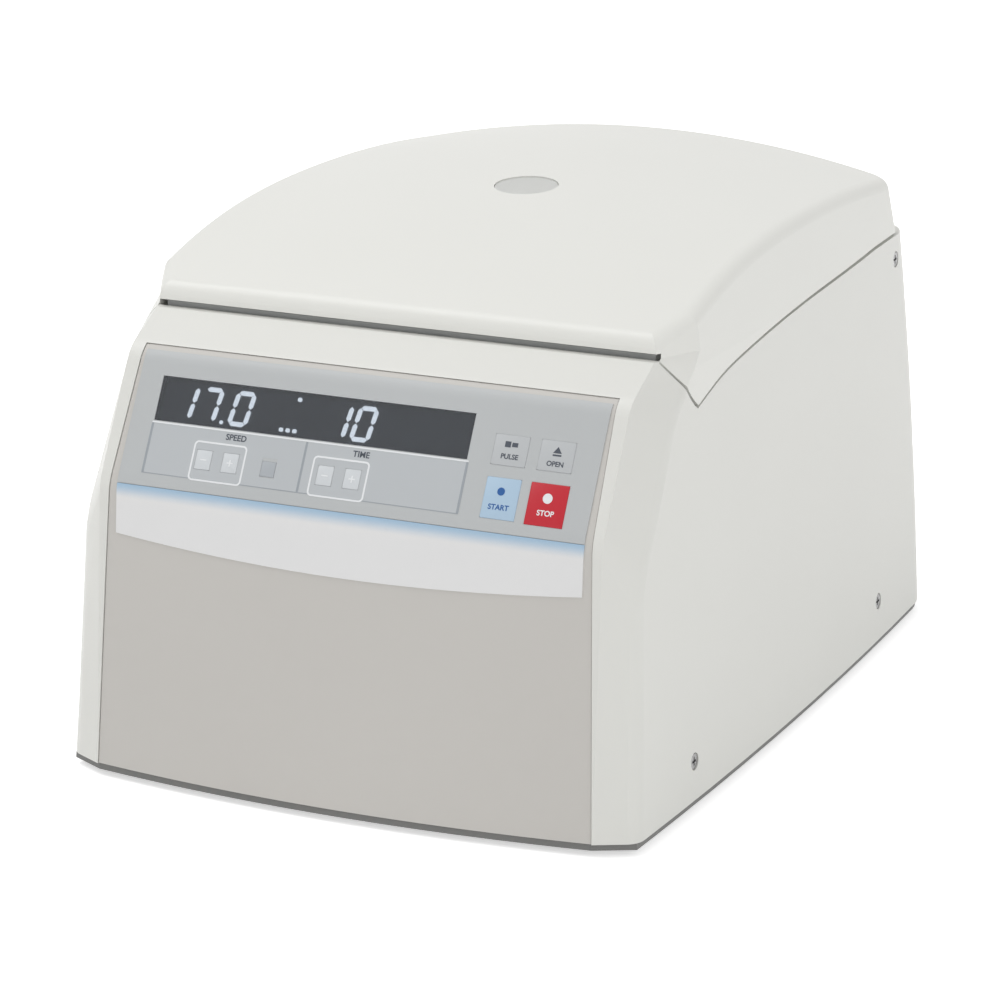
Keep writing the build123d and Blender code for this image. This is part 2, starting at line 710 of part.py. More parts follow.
# Lid shell: crowned top, leaning sides, and a pointed skirt at each front corner
lid_form = front_block() & case_block() & lid_block() & crown_block()
lid_low = extrude(seam_face(SIDE_SEAM / 4, SIDE_SEAM / 2), amount=FAR, both=True)
lid_low -= slab(-FAR, TRAY_FRONT_Y + 5, -50, 300, TOOTH_INSIDE)
lid_low += slab(-FAR, TRAY_FRONT_Y + 5, -50, LIP_Z + FRONT_SEAM * 2 / 3, TOOTH_INSIDE)
lid_form -= lid_low
lid_form = fillet(rim_edges(lid_form), LID_EDGE)
lid_inner = front_block(WALL) & case_block(WALL) & lid_block(WALL) & crown_block(WALL)
lid_shell = lid_form - lid_inner
lid_shell -= rod(0, AXIS_Y, 180, WINDOW_RADIUS + FIT, 60)
for side in (-1, 1):
    notch = (POCKET_WIDTH - 1, 16, NOTCH_TOP_Z - POCKET_Z)
    lid_shell -= block_at(side * HINGE_X, LID_BACK_Y - 4, POCKET_Z, *notch)
save("lid_shell", lid_shell)

# Viewing window and the ring that holds it under the lid
crown_z = window_top_z()
lens = rod(0, AXIS_Y, crown_z - WALL - RING, WINDOW_RADIUS, 40) & crown_block(0.4)
lens += rod(0, AXIS_Y, crown_z - WALL - RING - LENS_FLANGE, WINDOW_RADIUS + 2, LENS_FLANGE)
save("viewing_window", lens)
window_ring = ring(WINDOW_RADIUS + 0.2, WINDOW_RADIUS + 6, crown_z - WALL - RING, crown_z)
save("window_ring", window_ring & crown_block(WALL))

# Lid liner: a rim plate, a round drum that presses on the chamber seal, and a sight tube
liner_form = front_block(WALL + FIT) & case_block(WALL + FIT) & lid_block(WALL + FIT)
liner = liner_form & slab(-FAR, FAR, LINER_Z, LINER_Z + LINER)
liner -= rod(0, AXIS_Y, LINER_Z - 5, DRUM_RADIUS - LINER, 20)
for side in (-1, 1):
    ear_room = 2 * (EAR_RADIUS + EAR_GAP)
    liner -= block_at(side * HINGE_X, HINGE_Y, LINER_Z - 5, POCKET_WIDTH, ear_room, 20)
tube_top = crown_z - WALL - RING - LENS_FLANGE - 0.1
liner += turned([
    (DRUM_RADIUS - LINER, LINER_Z + LINER),
    (DRUM_RADIUS - LINER, DRUM_Z + LINER),
    (DRUM_INNER + LINER, DRUM_Z + LINER),
    (DRUM_INNER + LINER - 1, DOME_Z + LINER),
    (TUBE_RADIUS + LINER, DOME_Z + LINER),
    (TUBE_RADIUS + LINER, tube_top),
    (TUBE_RADIUS, tube_top),
    (TUBE_RADIUS, DOME_Z),
    (DRUM_INNER - 1, DOME_Z),
    (DRUM_INNER, DRUM_Z),
    (DRUM_RADIUS, DRUM_Z),
    (DRUM_RADIUS, LINER_Z + LINER),
])
save("lid_liner", liner)

# Striker: a bent plate under the lid's front with a window for the latch hook
striker = block_at(0, STRIKER_Y, STRIKER_LOW_Z, STRIKER_WIDTH, STRIKER, LINER_Z - STRIKER_LOW_Z)
striker += block_at(0, STRIKER_Y + STRIKER_FOOT / 2, LINER_Z - STRIKER, STRIKER_WIDTH, STRIKER_FOOT, STRIKER)
striker -= block_at(0, STRIKER_Y, STRIKER_LOW_Z + 2.5, HOOK_WIDTH + 2, 10, 6)
save("lid_striker", striker)

# Hinges: leaf and barrel on the lid, bracket, pin and spring on the case
leaves, brackets, pins, springs = [], [], [], []
coil = Rot(0, 90, 0) * Helix(pitch=SPRING_PITCH, height=SPRING_TURNS * SPRING_PITCH, radius=SPRING_RADIUS)
section = Plane(origin=coil @ 0, z_dir=coil % 0) * Circle(SPRING_WIRE)
spring = sweep(section, path=coil, is_frenet=True)
spring += Pos(0, -SPRING_LEG / 2, -SPRING_RADIUS) * Rot(90, 0, 0) * Cylinder(SPRING_WIRE, SPRING_LEG)
for side in (-1, 1):
    x = side * HINGE_X
    outer_x = side * (HINGE_X + BARREL_HALF)
    inner_x = side * (HINGE_X - BARREL_HALF)
    leaf = rod_x(inner_x, outer_x, HINGE_Y, HINGE_Z, BARREL)
    leaf_z = LINER_Z + LINER
    leaf_length = HINGE_Y - 2 - LEAF_FRONT_Y
    leaf += block_at(x, LEAF_FRONT_Y + leaf_length / 2, leaf_z, 2 * BARREL_HALF, leaf_length, LEAF)
    leaf -= rod_x(inner_x - side, outer_x + side, HINGE_Y, HINGE_Z, HINGE_PIN + 0.05)
    leaves.append(leaf)
    pin_in = inner_x - side * (0.4 + EAR + SPRING_SPAN)
    pin_out = outer_x + side * (0.4 + EAR + 0.5)
    bracket = block_at((pin_in + pin_out) / 2, HINGE_Y - 6, POCKET_Z, abs(pin_out - pin_in), 20, 2)
    for edge_x in (inner_x - side * (0.4 + EAR / 2), outer_x + side * (0.4 + EAR / 2)):
        ear = block_at(edge_x, HINGE_Y, POCKET_Z, EAR, 2 * EAR_RADIUS, HINGE_Z - POCKET_Z)
        ear += rod_x(edge_x - EAR / 2, edge_x + EAR / 2, HINGE_Y, HINGE_Z, EAR_RADIUS)
        bracket += ear
    bracket -= rod_x(pin_in, pin_out, HINGE_Y, HINGE_Z, HINGE_PIN)
    brackets.append(bracket)
    pins.append(rod_x(pin_in, pin_out, HINGE_Y, HINGE_Z, HINGE_PIN))
    coil_x = min(pin_in, inner_x - side * (0.4 + EAR)) + 1.0
    springs.append(Pos(coil_x, HINGE_Y, HINGE_Z) * spring)
save("hinge_leaves", *leaves)
save("hinge_brackets", *brackets)
save("hinge_springs", *springs)

# Latch under the brow: bracket, hook on its pin, latch motor and lid switch
bracket_low = SHELF_Z - WALL - LATCH_HEIGHT
cheek_x = HOOK_WIDTH / 2 + 0.6 + CHEEK / 2
latch = block_at(0, LATCH_Y, bracket_low, 2 * cheek_x + CHEEK, LATCH_DEPTH, CHEEK)
for side in (-1, 1):
    latch += block_at(side * cheek_x, LATCH_Y, bracket_low, CHEEK, LATCH_DEPTH, LATCH_HEIGHT)
pin_x = cheek_x + CHEEK / 2 + 1
latch -= rod_x(-pin_x, pin_x, HOOK_Y, HOOK_Z, HOOK_PIN)
save("latch_bracket", latch)
pins.append(rod_x(-pin_x, pin_x, HOOK_Y, HOOK_Z, HOOK_PIN))
save("pivot_pins", *pins)
hook_points = [
    (-2.5, -3), (2.5, -3), (2.5, HOOK_REACH), (HOOK_NOSE, HOOK_REACH),
    (HOOK_NOSE, HOOK_REACH + 1.5), (3.5, HOOK_REACH + 4), (-0.5, HOOK_REACH + 4), (-2.5, HOOK_REACH + 1),
]
hook_face = Plane.YZ * make_face(Polyline(*hook_points, close=True))
hook = extrude(hook_face, amount=HOOK_WIDTH / 2, both=True)
hook -= rod_x(-20, 20, 0, 0, HOOK_PIN + 0.05)
hook = Pos(0, HOOK_Y, HOOK_Z) * Rot(HOOK_OPEN, 0, 0) * hook
save("latch_hook", hook)
latch_motor = rod(0, LATCH_Y, bracket_low - 26, 8, 26)
latch_motor += rod(0, LATCH_Y, bracket_low - 29, 2.5, 3)
save("latch_motor", latch_motor)
switch_z = SHELF_Z - WALL - 10
switch = block_at(SWITCH_X, LATCH_Y + 5, switch_z, 7, 10.5, 10)
switch += block_at(SWITCH_X + 2, LATCH_Y + 5, switch_z - 3, 0.6, 6, 3)
switch += block_at(SWITCH_X - 4.7, LATCH_Y + 5, switch_z - 3, 14, 6, 0.6)
save("lid_switch", switch)

# Chamber: steel bowl, its rubber seal, and the boot round the motor neck
bowl_out = BOWL_RADIUS + BOWL_WALL
bowl = turned([
    (NECK_HOLE, BOWL_FLOOR_Z - BOWL_WALL),
    (bowl_out - 8, BOWL_FLOOR_Z - BOWL_WALL),
    (bowl_out, BOWL_FLOOR_Z - BOWL_WALL + 8),
    (bowl_out, DECK_Z),
    (BOWL_LIP, DECK_Z),
    (BOWL_LIP, DECK_Z + BOWL_WALL),
    (BOWL_RADIUS, DECK_Z + BOWL_WALL),
    (BOWL_RADIUS, BOWL_FLOOR_Z + 7.4),
    (bowl_out - 8.6, BOWL_FLOOR_Z),
    (NECK_HOLE + BOWL_WALL, BOWL_FLOOR_Z),
    (NECK_HOLE + BOWL_WALL, BOWL_FLOOR_Z + 5),
    (NECK_HOLE, BOWL_FLOOR_Z + 5),
])
save("chamber_bowl", bowl)
seal_top = DRUM_Z - FIT
save("chamber_seal", turned([
    (BOWL_LIP - 5, DECK_Z + BOWL_WALL),
    (BOWL_LIP, DECK_Z + BOWL_WALL),
    (BOWL_LIP, seal_top - 2),
    (BOWL_LIP - 1.5, seal_top),
    (BOWL_LIP - 3.5, seal_top),
    (BOWL_LIP - 5, seal_top - 2),
]))
save("shaft_boot", turned([
    (NECK, NECK_TOP_Z - 7),
    (NECK + 2, NECK_TOP_Z - 7),
    (NECK + 2, NECK_TOP_Z - 2),
    (NECK_HOLE + 2.5, BOWL_FLOOR_Z - BOWL_WALL - 1.5),
    (NECK_HOLE + 2.5, BOWL_FLOOR_Z - BOWL_WALL),
    (NECK_HOLE, BOWL_FLOOR_Z - BOWL_WALL),
    (NECK, NECK_TOP_Z - 1),
]))

# Rotor with slanted tube bores
dish = TUBE_MOUTH_RADIUS - TUBE_MOUTH_Z
rotor = turned([
    (HUB_BORE, ROTOR_BOTTOM_Z),
    (24, ROTOR_BOTTOM_Z),
    (24, ROTOR_BOTTOM_Z + 6),
    (58, ROTOR_BOTTOM_Z + 6),
    (62, ROTOR_BOTTOM_Z),
    (ROTOR_RADIUS - 4, ROTOR_BOTTOM_Z),
    (ROTOR_RADIUS, ROTOR_BOTTOM_Z + 6),
    (ROTOR_RADIUS, ROTOR_TOP_Z),
    (dish + ROTOR_TOP_Z, ROTOR_TOP_Z),
    (HUB_RADIUS + 16, HUB_RADIUS + 16 - dish),
    (HUB_RADIUS + 2, HUB_RADIUS + 16 - dish - 2),
    (HUB_RADIUS, HUB_TOP_Z),
    (HUB_BORE, HUB_TOP_Z),
])
tube_axis = Plane(origin=(TUBE_MOUTH_RADIUS, 0, TUBE_MOUTH_Z), z_dir=(1, 0, -1))
bore = tube_axis * Pos(0, 0, (TUBE_DEPTH - 10) / 2) * Cylinder(TUBE_BORE, TUBE_DEPTH + 10)
bores = []
for place in range(TUBE_COUNT):
    bores.append(Pos(0, AXIS_Y, 0) * Rot(0, 0, (place + 0.5) * 360 / TUBE_COUNT) * bore)
rotor = rotor.cut(*bores)
save("rotor", rotor)

# Rotor lid with its seal and knob, which turn together to lock
save("rotor_lid", turned([
    (KNOB_STEM + 3, ROTOR_LID_Z - 1.5),
    (ROTOR_LID - 14, ROTOR_TOP_Z + 4.2),
    (ROTOR_LID - 3, ROTOR_TOP_Z + 2.0),
    (ROTOR_LID - 2, ROTOR_TOP_Z + FIT),
    (ROTOR_LID, ROTOR_TOP_Z + FIT),
    (ROTOR_LID, ROTOR_TOP_Z + 3.0),
    (ROTOR_LID - 12, ROTOR_TOP_Z + 6.4),
    (KNOB_RADIUS + 4, ROTOR_LID_Z + 0.8),
    (KNOB_STEM + 3, ROTOR_LID_Z + 0.8),
]))
save("rotor_lid_seal", turned([
    (ROTOR_LID - 7, ROTOR_TOP_Z + FIT),
    (ROTOR_LID - 4, ROTOR_TOP_Z + FIT),
    (ROTOR_LID - 4, ROTOR_TOP_Z + 2.2),
    (ROTOR_LID - 7, ROTOR_TOP_Z + 2.8),
]))
knob = turned([
    (0, NUT_TOP_Z - 6),
    (KNOB_STEM, NUT_TOP_Z - 6),
    (KNOB_STEM, NUT_TOP_Z + 1),
    (KNOB_STEM + 2.95, NUT_TOP_Z + 2),
    (KNOB_STEM + 2.95, ROTOR_LID_Z + 0.8),
    (KNOB_RADIUS + 2, ROTOR_LID_Z + 0.85),
    (KNOB_RADIUS, ROTOR_LID_Z + 3),
    (KNOB_RADIUS, KNOB_TOP_Z - 1.5),
    (KNOB_RADIUS - 1.5, KNOB_TOP_Z),
    (0, KNOB_TOP_Z),
])
for place in range(KNOB_GRIPS):
    turn = place * 360 / KNOB_GRIPS
    knob -= Pos(0, AXIS_Y, 0) * Rot(0, 0, turn) * rod(KNOB_RADIUS + 1.6, 0, ROTOR_LID_Z + 3, 2.6, 20)
save("rotor_lid_knob", knob)
nut = turned([
    (KNOB_STEM + 0.05, HUB_TOP_Z),
    (HUB_BORE + 3.5, HUB_TOP_Z),
    (HUB_BORE + 3.5, NUT_TOP_Z),
    (KNOB_STEM + 0.05, NUT_TOP_Z),
])
for turn in range(0, 180, 60):
    flat = Pos(0, AXIS_Y, 0) * Rot(0, 0, turn) * Pos(0, HUB_BORE + 2.4 + 10) * Box(60, 20, 400)
    nut -= flat
    nut -= Pos(0, AXIS_Y, 0) * Rot(0, 0, turn + 180) * Pos(0, HUB_BORE + 2.4 + 10) * Box(60, 20, 400)
save("rotor_nut", nut)

# Motor: shaft, rotor core, stator with windings, bearings, housing and mounting plate
hub = turned([
    (SHAFT, ROTOR_BOTTOM_Z - 4),
    (NECK_HOLE - 4, ROTOR_BOTTOM_Z - 4),
    (NECK_HOLE - 4, ROTOR_BOTTOM_Z),
    (HUB_BORE - 0.02, ROTOR_BOTTOM_Z),
    (HUB_BORE - 0.02, HUB_TOP_Z - 2),
    (HUB_BORE - 2, HUB_TOP_Z),
    (SHAFT, HUB_TOP_Z),
])
save("drive_hub", hub)
shaft = rod(0, AXIS_Y, SHAFT_LOW_Z, SHAFT, HUB_TOP_Z - SHAFT_LOW_Z - 1)
save("motor_shaft", shaft)
save("motor_rotor", ring(SHAFT, ARMATURE, STATOR_Z, STATOR_Z + STATOR_HEIGHT))
stator = ring(ARMATURE + AIR_GAP, MOTOR - MOTOR_WALL, STATOR_Z, STATOR_Z + STATOR_HEIGHT)
slot = rod(ARMATURE + AIR_GAP + 8, 0, STATOR_Z - 1, 3.4, STATOR_HEIGHT + 2)
slot += Pos(ARMATURE + AIR_GAP + 3, 0, STATOR_Z + STATOR_HEIGHT / 2) * Box(10, 2.4, STATOR_HEIGHT + 2)
slots = []
for place in range(STATOR_SLOTS):
    slots.append(Pos(0, AXIS_Y, 0) * Rot(0, 0, place * 360 / STATOR_SLOTS) * slot)
save("stator_core", stator.cut(*slots))
coil_in = ARMATURE + AIR_GAP + 4.5
windings = []
for low in (STATOR_Z - 7, STATOR_Z + STATOR_HEIGHT):
    coil_ring = ring(coil_in, coil_in + 8, low, low + 7)
    windings.append(coil_ring)
save("stator_windings", *windings)
bearing_top_z = NECK_TOP_Z - 10
bearings = []
for low in (BEARING_LOW_Z, bearing_top_z):
    bearings.append(ring(SHAFT + 0.03, BEARING, low, low + 7))
save("motor_bearings", *bearings)
save("motor_housing", turned([
    (SHAFT + 2, NECK_TOP_Z - 2),
    (SHAFT + 2, NECK_TOP_Z),
    (NECK - 0.1, NECK_TOP_Z),
    (NECK - 0.1, MOTOR_TOP_Z),
    (MOTOR - 4, MOTOR_TOP_Z),
    (MOTOR, MOTOR_TOP_Z - 4),
    (MOTOR, MOUNT_Z + MOUNT),
    (MOTOR - MOTOR_WALL, MOUNT_Z + MOUNT),
    (MOTOR - MOTOR_WALL, MOTOR_TOP_Z - MOTOR_WALL),
    (BEARING, MOTOR_TOP_Z - MOTOR_WALL),
    (BEARING, NECK_TOP_Z - 2.8),
    (SHAFT + 2, NECK_TOP_Z - 2.8),
]))
mount = turned([
    (SHAFT + 2, BEARING_LOW_Z - 1),
    (NECK - 1, BEARING_LOW_Z - 1),
    (NECK - 1, MOUNT_Z),
    (MOUNT_RADIUS, MOUNT_Z),
    (MOUNT_RADIUS, MOUNT_Z + MOUNT),
    (BEARING, MOUNT_Z + MOUNT),
    (BEARING, BEARING_LOW_Z),
    (SHAFT + 2, BEARING_LOW_Z),
])
dampers = []
for place in range(3):
    turn = math.radians(90 + 120 * place)
    x = DAMPER_PLACE * math.cos(turn)
    y = AXIS_Y + DAMPER_PLACE * math.sin(turn)
    waist_z = (SHELL_Z + MOUNT_Z) / 2
    damper = turned([
        (0, SHELL_Z),
        (DAMPER, SHELL_Z),
        (DAMPER, SHELL_Z + 2),
        (DAMPER - 2.5, waist_z),
        (DAMPER, MOUNT_Z - 2),
        (DAMPER, MOUNT_Z),
        (DAMPER_STUD, MOUNT_Z),
        (DAMPER_STUD, MOUNT_Z + MOUNT + 4),
        (0, MOUNT_Z + MOUNT + 4),
    ], x, y)
    mount -= rod(x, y, MOUNT_Z - 1, DAMPER_STUD, MOUNT + 2)
    dampers.append(damper)
save("motor_mount", mount)
save("vibration_mounts", *dampers)

# Back panel with vents, mains inlet, fuse drawer and power switch
back_sheet = Box(BACK_WIDTH - 2 * FIT, SHEET, back_height - 2 * FIT)
back_panel = Pos(0, BACK_PLATE_Y + SHEET / 2, back_mid_z) * back_sheet
back_face = BACK_PLATE_Y + SHEET
grille_length = (BACK_WIDTH - (GRILLE_COLUMNS + 1) * GRILLE_BRIDGE) / GRILLE_COLUMNS
for row in range(GRILLE_ROWS):
    z = BACK_HIGH_Z - 10 - row * GRILLE_PITCH
    for column in range(GRILLE_COLUMNS):
        x = (column - (GRILLE_COLUMNS - 1) / 2) * (grille_length + GRILLE_BRIDGE)
        back_panel -= Pos(x, BACK_PLATE_Y, z) * Box(grille_length, 20, GRILLE_GAP)
inlet_cut = Pos(INLET_X, BACK_PLATE_Y, INLET_Z) * Box(INLET_WIDTH + 0.2, 20, INLET_HEIGHT + 0.2)
switch_cut = Pos(ROCKER_X, BACK_PLATE_Y, INLET_Z) * Box(ROCKER_WIDTH + 5.2, 20, ROCKER_HEIGHT + 5.2)
back_panel -= inlet_cut
back_panel -= switch_cut
save("back_panel", back_panel)

inlet = Pos(INLET_X, back_face + 1, INLET_Z) * Box(INLET_WIDTH + 8, 2, INLET_HEIGHT + 8)
inlet += Pos(INLET_X, back_face - INLET_DEPTH / 2, INLET_Z) * Box(INLET_WIDTH, INLET_DEPTH, INLET_HEIGHT)
socket_face = Plane.XZ * (Pos(INLET_X, SOCKET_Z) * Rectangle(SOCKET_WIDTH, SOCKET_HEIGHT))
socket = extrude(socket_face, amount=-FAR) & slab(back_face + 2 - SOCKET_DEPTH, FAR, 0, FAR)
inlet -= socket
drawer_hole = Box(DRAWER_WIDTH + 0.4, DRAWER_DEPTH + 10, DRAWER_HEIGHT + 0.4)
inlet -= Pos(INLET_X, back_face + 2 - DRAWER_DEPTH / 2 + 5, DRAWER_Z) * drawer_hole
contacts = []
for dx, dz in ((-7, -2), (7, -2), (0, 2)):
    pin = Pos(INLET_X + dx, back_face + 2 - SOCKET_DEPTH / 2 - 3, SOCKET_Z + dz) * Box(2, SOCKET_DEPTH - 2, 4)
    inlet -= pin
    contacts.append(pin)
save("mains_inlet", inlet)
save("inlet_pins", *contacts)
drawer_back = back_face + 2 - DRAWER_DEPTH + 5
drawer_length = back_face + 2 - drawer_back
drawer = Box(DRAWER_WIDTH, drawer_length, DRAWER_HEIGHT)
drawer = Pos(INLET_X, drawer_back + drawer_length / 2, DRAWER_Z) * drawer
drawer -= Pos(INLET_X, drawer_back + 9, DRAWER_Z + 4.4) * Box(DRAWER_WIDTH - 3, 14, DRAWER_HEIGHT)
drawer += Pos(INLET_X, back_face + 3, DRAWER_Z) * Box(DRAWER_WIDTH - 8, 2, 2)
save("fuse_drawer", drawer)

frame_body = Pos(ROCKER_X, back_face + 1, INLET_Z) * Box(ROCKER_WIDTH + 9, 2, ROCKER_HEIGHT + 9)
frame_body += Pos(ROCKER_X, back_face - 9, INLET_Z) * Box(ROCKER_WIDTH + 5, 18, ROCKER_HEIGHT + 5)
rocker_y = back_face - 4.0
frame_body -= Pos(ROCKER_X, back_face - 14 + 10, INLET_Z) * Box(ROCKER_WIDTH + 0.8, 20, ROCKER_HEIGHT + 1.2)
rocker_half = ROCKER_HEIGHT / 2
rocker_points = [
    (-3, -5), (-3, 5), (3, rocker_half - 0.2), (ROCKER_PROUD, rocker_half - 0.6),
    (ROCKER_PROUD - 1.6, 0), (ROCKER_PROUD, -rocker_half + 0.6), (3, -rocker_half + 0.2),
]
rocker_face = Plane.YZ * make_face(Polyline(*rocker_points, close=True))
rocker = extrude(rocker_face, amount=ROCKER_WIDTH / 2, both=True)
rocker = Pos(ROCKER_X, rocker_y, INLET_Z) * Rot(ROCKER_TILT, 0, 0) * rocker
axle_half = ROCKER_WIDTH / 2 + 2
rocker += rod_x(ROCKER_X - axle_half, ROCKER_X + axle_half, rocker_y, INLET_Z, ROCKER_AXLE)
axle_half += 0.1
frame_body -= rod_x(ROCKER_X - axle_half, ROCKER_X + axle_half, rocker_y, INLET_Z, ROCKER_AXLE + 0.05)
save("switch_frame", frame_body)
save("power_rocker", rocker)

# Power board on standoffs, with capacitors and a finned heat sink
POWER_Z = SHELL_Z + STANDOFF
power = block_at(0, POWER_Y, POWER_Z, POWER_WIDTH, POWER_DEPTH, BOARD)
for x in (-1, 1):
    for y in (-1, 1):
        post_x = x * (POWER_WIDTH / 2 - 5)
        post_y = POWER_Y + y * (POWER_DEPTH / 2 - 5)
        base += rod(post_x, post_y, SHELL_Z, 3, STANDOFF)
        power += rod(post_x, post_y, POWER_Z + BOARD, 2.5, 1.5)
power += block_at(CHOKE_X, POWER_Y, POWER_Z + BOARD, 26, 22, 24)
power += block_at(RELAY_X, POWER_Y - 14, POWER_Z + BOARD, RELAY_LENGTH, 8, 10)
save("power_board", power)
cans = []
for x in CAN_PLACES:
    can = rod(x, POWER_Y - 8, POWER_Z + BOARD, CAN, CAN_HEIGHT)
    cans.append(fillet(can.edges().sort_by(Axis.Z)[-1], 1.5))
save("capacitors", *cans)
sink = block_at(SINK_X, POWER_Y, POWER_Z + BOARD, SINK_WIDTH, 30, 3)
for fin in range(SINK_FINS):
    x = SINK_X - SINK_WIDTH / 2 + 1 + fin * (SINK_WIDTH - 2) / (SINK_FINS - 1)
    sink += block_at(x, POWER_Y, POWER_Z + BOARD + 3, 2, 30, SINK_HEIGHT)
save("heat_sink", sink)
save("base_plate", base)
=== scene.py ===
import json
import math

import bmesh
import bpy
from mathutils import Matrix, Vector


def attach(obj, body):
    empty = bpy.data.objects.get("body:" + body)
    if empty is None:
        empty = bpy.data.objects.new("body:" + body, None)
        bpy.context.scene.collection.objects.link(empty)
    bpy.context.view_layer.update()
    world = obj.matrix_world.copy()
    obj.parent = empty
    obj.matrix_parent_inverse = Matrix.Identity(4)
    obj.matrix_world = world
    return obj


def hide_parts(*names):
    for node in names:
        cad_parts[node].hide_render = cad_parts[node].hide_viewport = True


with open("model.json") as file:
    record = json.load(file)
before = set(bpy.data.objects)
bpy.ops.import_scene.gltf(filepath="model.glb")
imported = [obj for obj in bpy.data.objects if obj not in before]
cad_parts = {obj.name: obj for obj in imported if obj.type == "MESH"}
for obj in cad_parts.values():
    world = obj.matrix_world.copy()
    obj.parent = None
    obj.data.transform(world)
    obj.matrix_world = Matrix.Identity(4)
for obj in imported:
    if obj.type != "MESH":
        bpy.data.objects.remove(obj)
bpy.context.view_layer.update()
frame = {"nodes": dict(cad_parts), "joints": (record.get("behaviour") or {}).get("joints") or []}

nodes = frame["nodes"]

# Base plate and feet.
# The base is a folded steel sheet, powder coated dark grey with a fine orange peel.
# Four moulded rubber feet push into it; their soles are scuffed from sliding on a bench.

NOISE_LOW, NOISE_HIGH = 0.3, 0.7
CLOUD_SCALE = 9.0
GLOSS_SWING = 0.05


def srgb(red, green, blue):
    """Linear colour of a paint swatch given as 0 to 255."""
    out = []
    for value in (red, green, blue):
        value = value / 255
        out.append(value / 12.92 if value <= 0.04045 else ((value + 0.055) / 1.055) ** 2.4)
    return (*out, 1.0)


def shade(colour, factor):
    """The same colour made darker or lighter by a factor."""
    return (*[min(1.0, channel * factor) for channel in colour[:3]], 1.0)


def new_finish(name):
    """A blank finish with its surface shader and object coordinates."""
    material = bpy.data.materials.new(name)
    material.use_nodes = True
    tree = material.node_tree
    surface = tree.nodes["Principled BSDF"]
    place = tree.nodes.new("ShaderNodeTexCoord")
    return material, tree, surface, place.outputs["Object"]


def mottle(tree, place, scale, detail=3.0):
    """Cloudy noise in the object's own metres."""
    noise = tree.nodes.new("ShaderNodeTexNoise")
    noise.inputs["Scale"].default_value = scale
    noise.inputs["Detail"].default_value = detail
    tree.links.new(place, noise.inputs["Vector"])
    return noise.outputs["Fac"]


def spread(tree, factor, low, high):
    """Maps the usual span of a noise onto the range from low to high."""
    remap = tree.nodes.new("ShaderNodeMapRange")
    remap.inputs["From Min"].default_value = NOISE_LOW
    remap.inputs["From Max"].default_value = NOISE_HIGH
    remap.inputs["To Min"].default_value = low
    remap.inputs["To Max"].default_value = high
    tree.links.new(factor, remap.inputs["Value"])
    return remap.outputs["Result"]


def between(tree, factor, first, second):
    """Blends two colours by a factor."""
    mix = tree.nodes.new("ShaderNodeMix")
    mix.data_type = "RGBA"
    tree.links.new(factor, mix.inputs["Factor"])
    for key, colour in (("A", first), ("B", second)):
        socket = [s for s in mix.inputs if s.name == key and s.type == "RGBA"][0]
        socket.default_value = colour
    return [s for s in mix.outputs if s.type == "RGBA"][0]


def relief(tree, surface, height, depth):
    """Raises the surface by depth metres where height is 1."""
    bump = tree.nodes.new("ShaderNodeBump")
    bump.inputs["Distance"].default_value = depth
    tree.links.new(height, bump.inputs["Height"])
    tree.links.new(bump.outputs["Normal"], surface.inputs["Normal"])


def moulded(name, colour, rough, grain=900.0, depth=0.00002, drift=0.02):
    """Moulded plastic or coated metal: slight drift of tone, spark-eroded grain, uneven gloss."""
    material, tree, surface, place = new_finish(name)
    clouds = spread(tree, mottle(tree, place, CLOUD_SCALE), 0.0, 1.0)
    tone = between(tree, clouds, shade(colour, 1 - drift), shade(colour, 1 + drift))
    tree.links.new(tone, surface.inputs["Base Color"])
    fine = mottle(tree, place, grain, 2.0)
    gloss = spread(tree, fine, rough - GLOSS_SWING, rough + GLOSS_SWING)
    tree.links.new(gloss, surface.inputs["Roughness"])
    relief(tree, surface, fine, depth)
    return material


def dress(name, material, angle=32.0):
    """Gives a CAD solid its finish, smooth across its curves and crisp at its edges."""
    solid = nodes[name]
    mesh = solid.data
    mesh.materials.clear()
    mesh.materials.append(material)
    mesh.shade_smooth()
    mesh.set_sharp_from_angle(angle=math.radians(angle))
    return solid


powder_coat = moulded("powder_coat", srgb(118, 118, 116), 0.5, grain=1400.0, depth=0.00004, drift=0.05)
dress("base_plate", powder_coat)

foot_rubber = moulded("foot_rubber", srgb(42, 42, 43), 0.75, grain=500.0, depth=0.00006, drift=0.15)
dress("rubber_feet", foot_rubber)

# Motor and its mount.
# An induction motor in a cast aluminium can stands on three rubber mounts above the base plate.
# Its stator is a stack of steel sheets with copper end windings, and its steel shaft is ground.

ROTOR_AXIS_Y = 0.002
RING_SCALE = 2600.0
STAIN_SCALE = 22.0
CORE_JOINT = 0.0018
WINDING_JOINT = 0.0014
# A wave texture at scale 1 repeats after this many metres.
WAVE_LENGTH = math.pi / 10


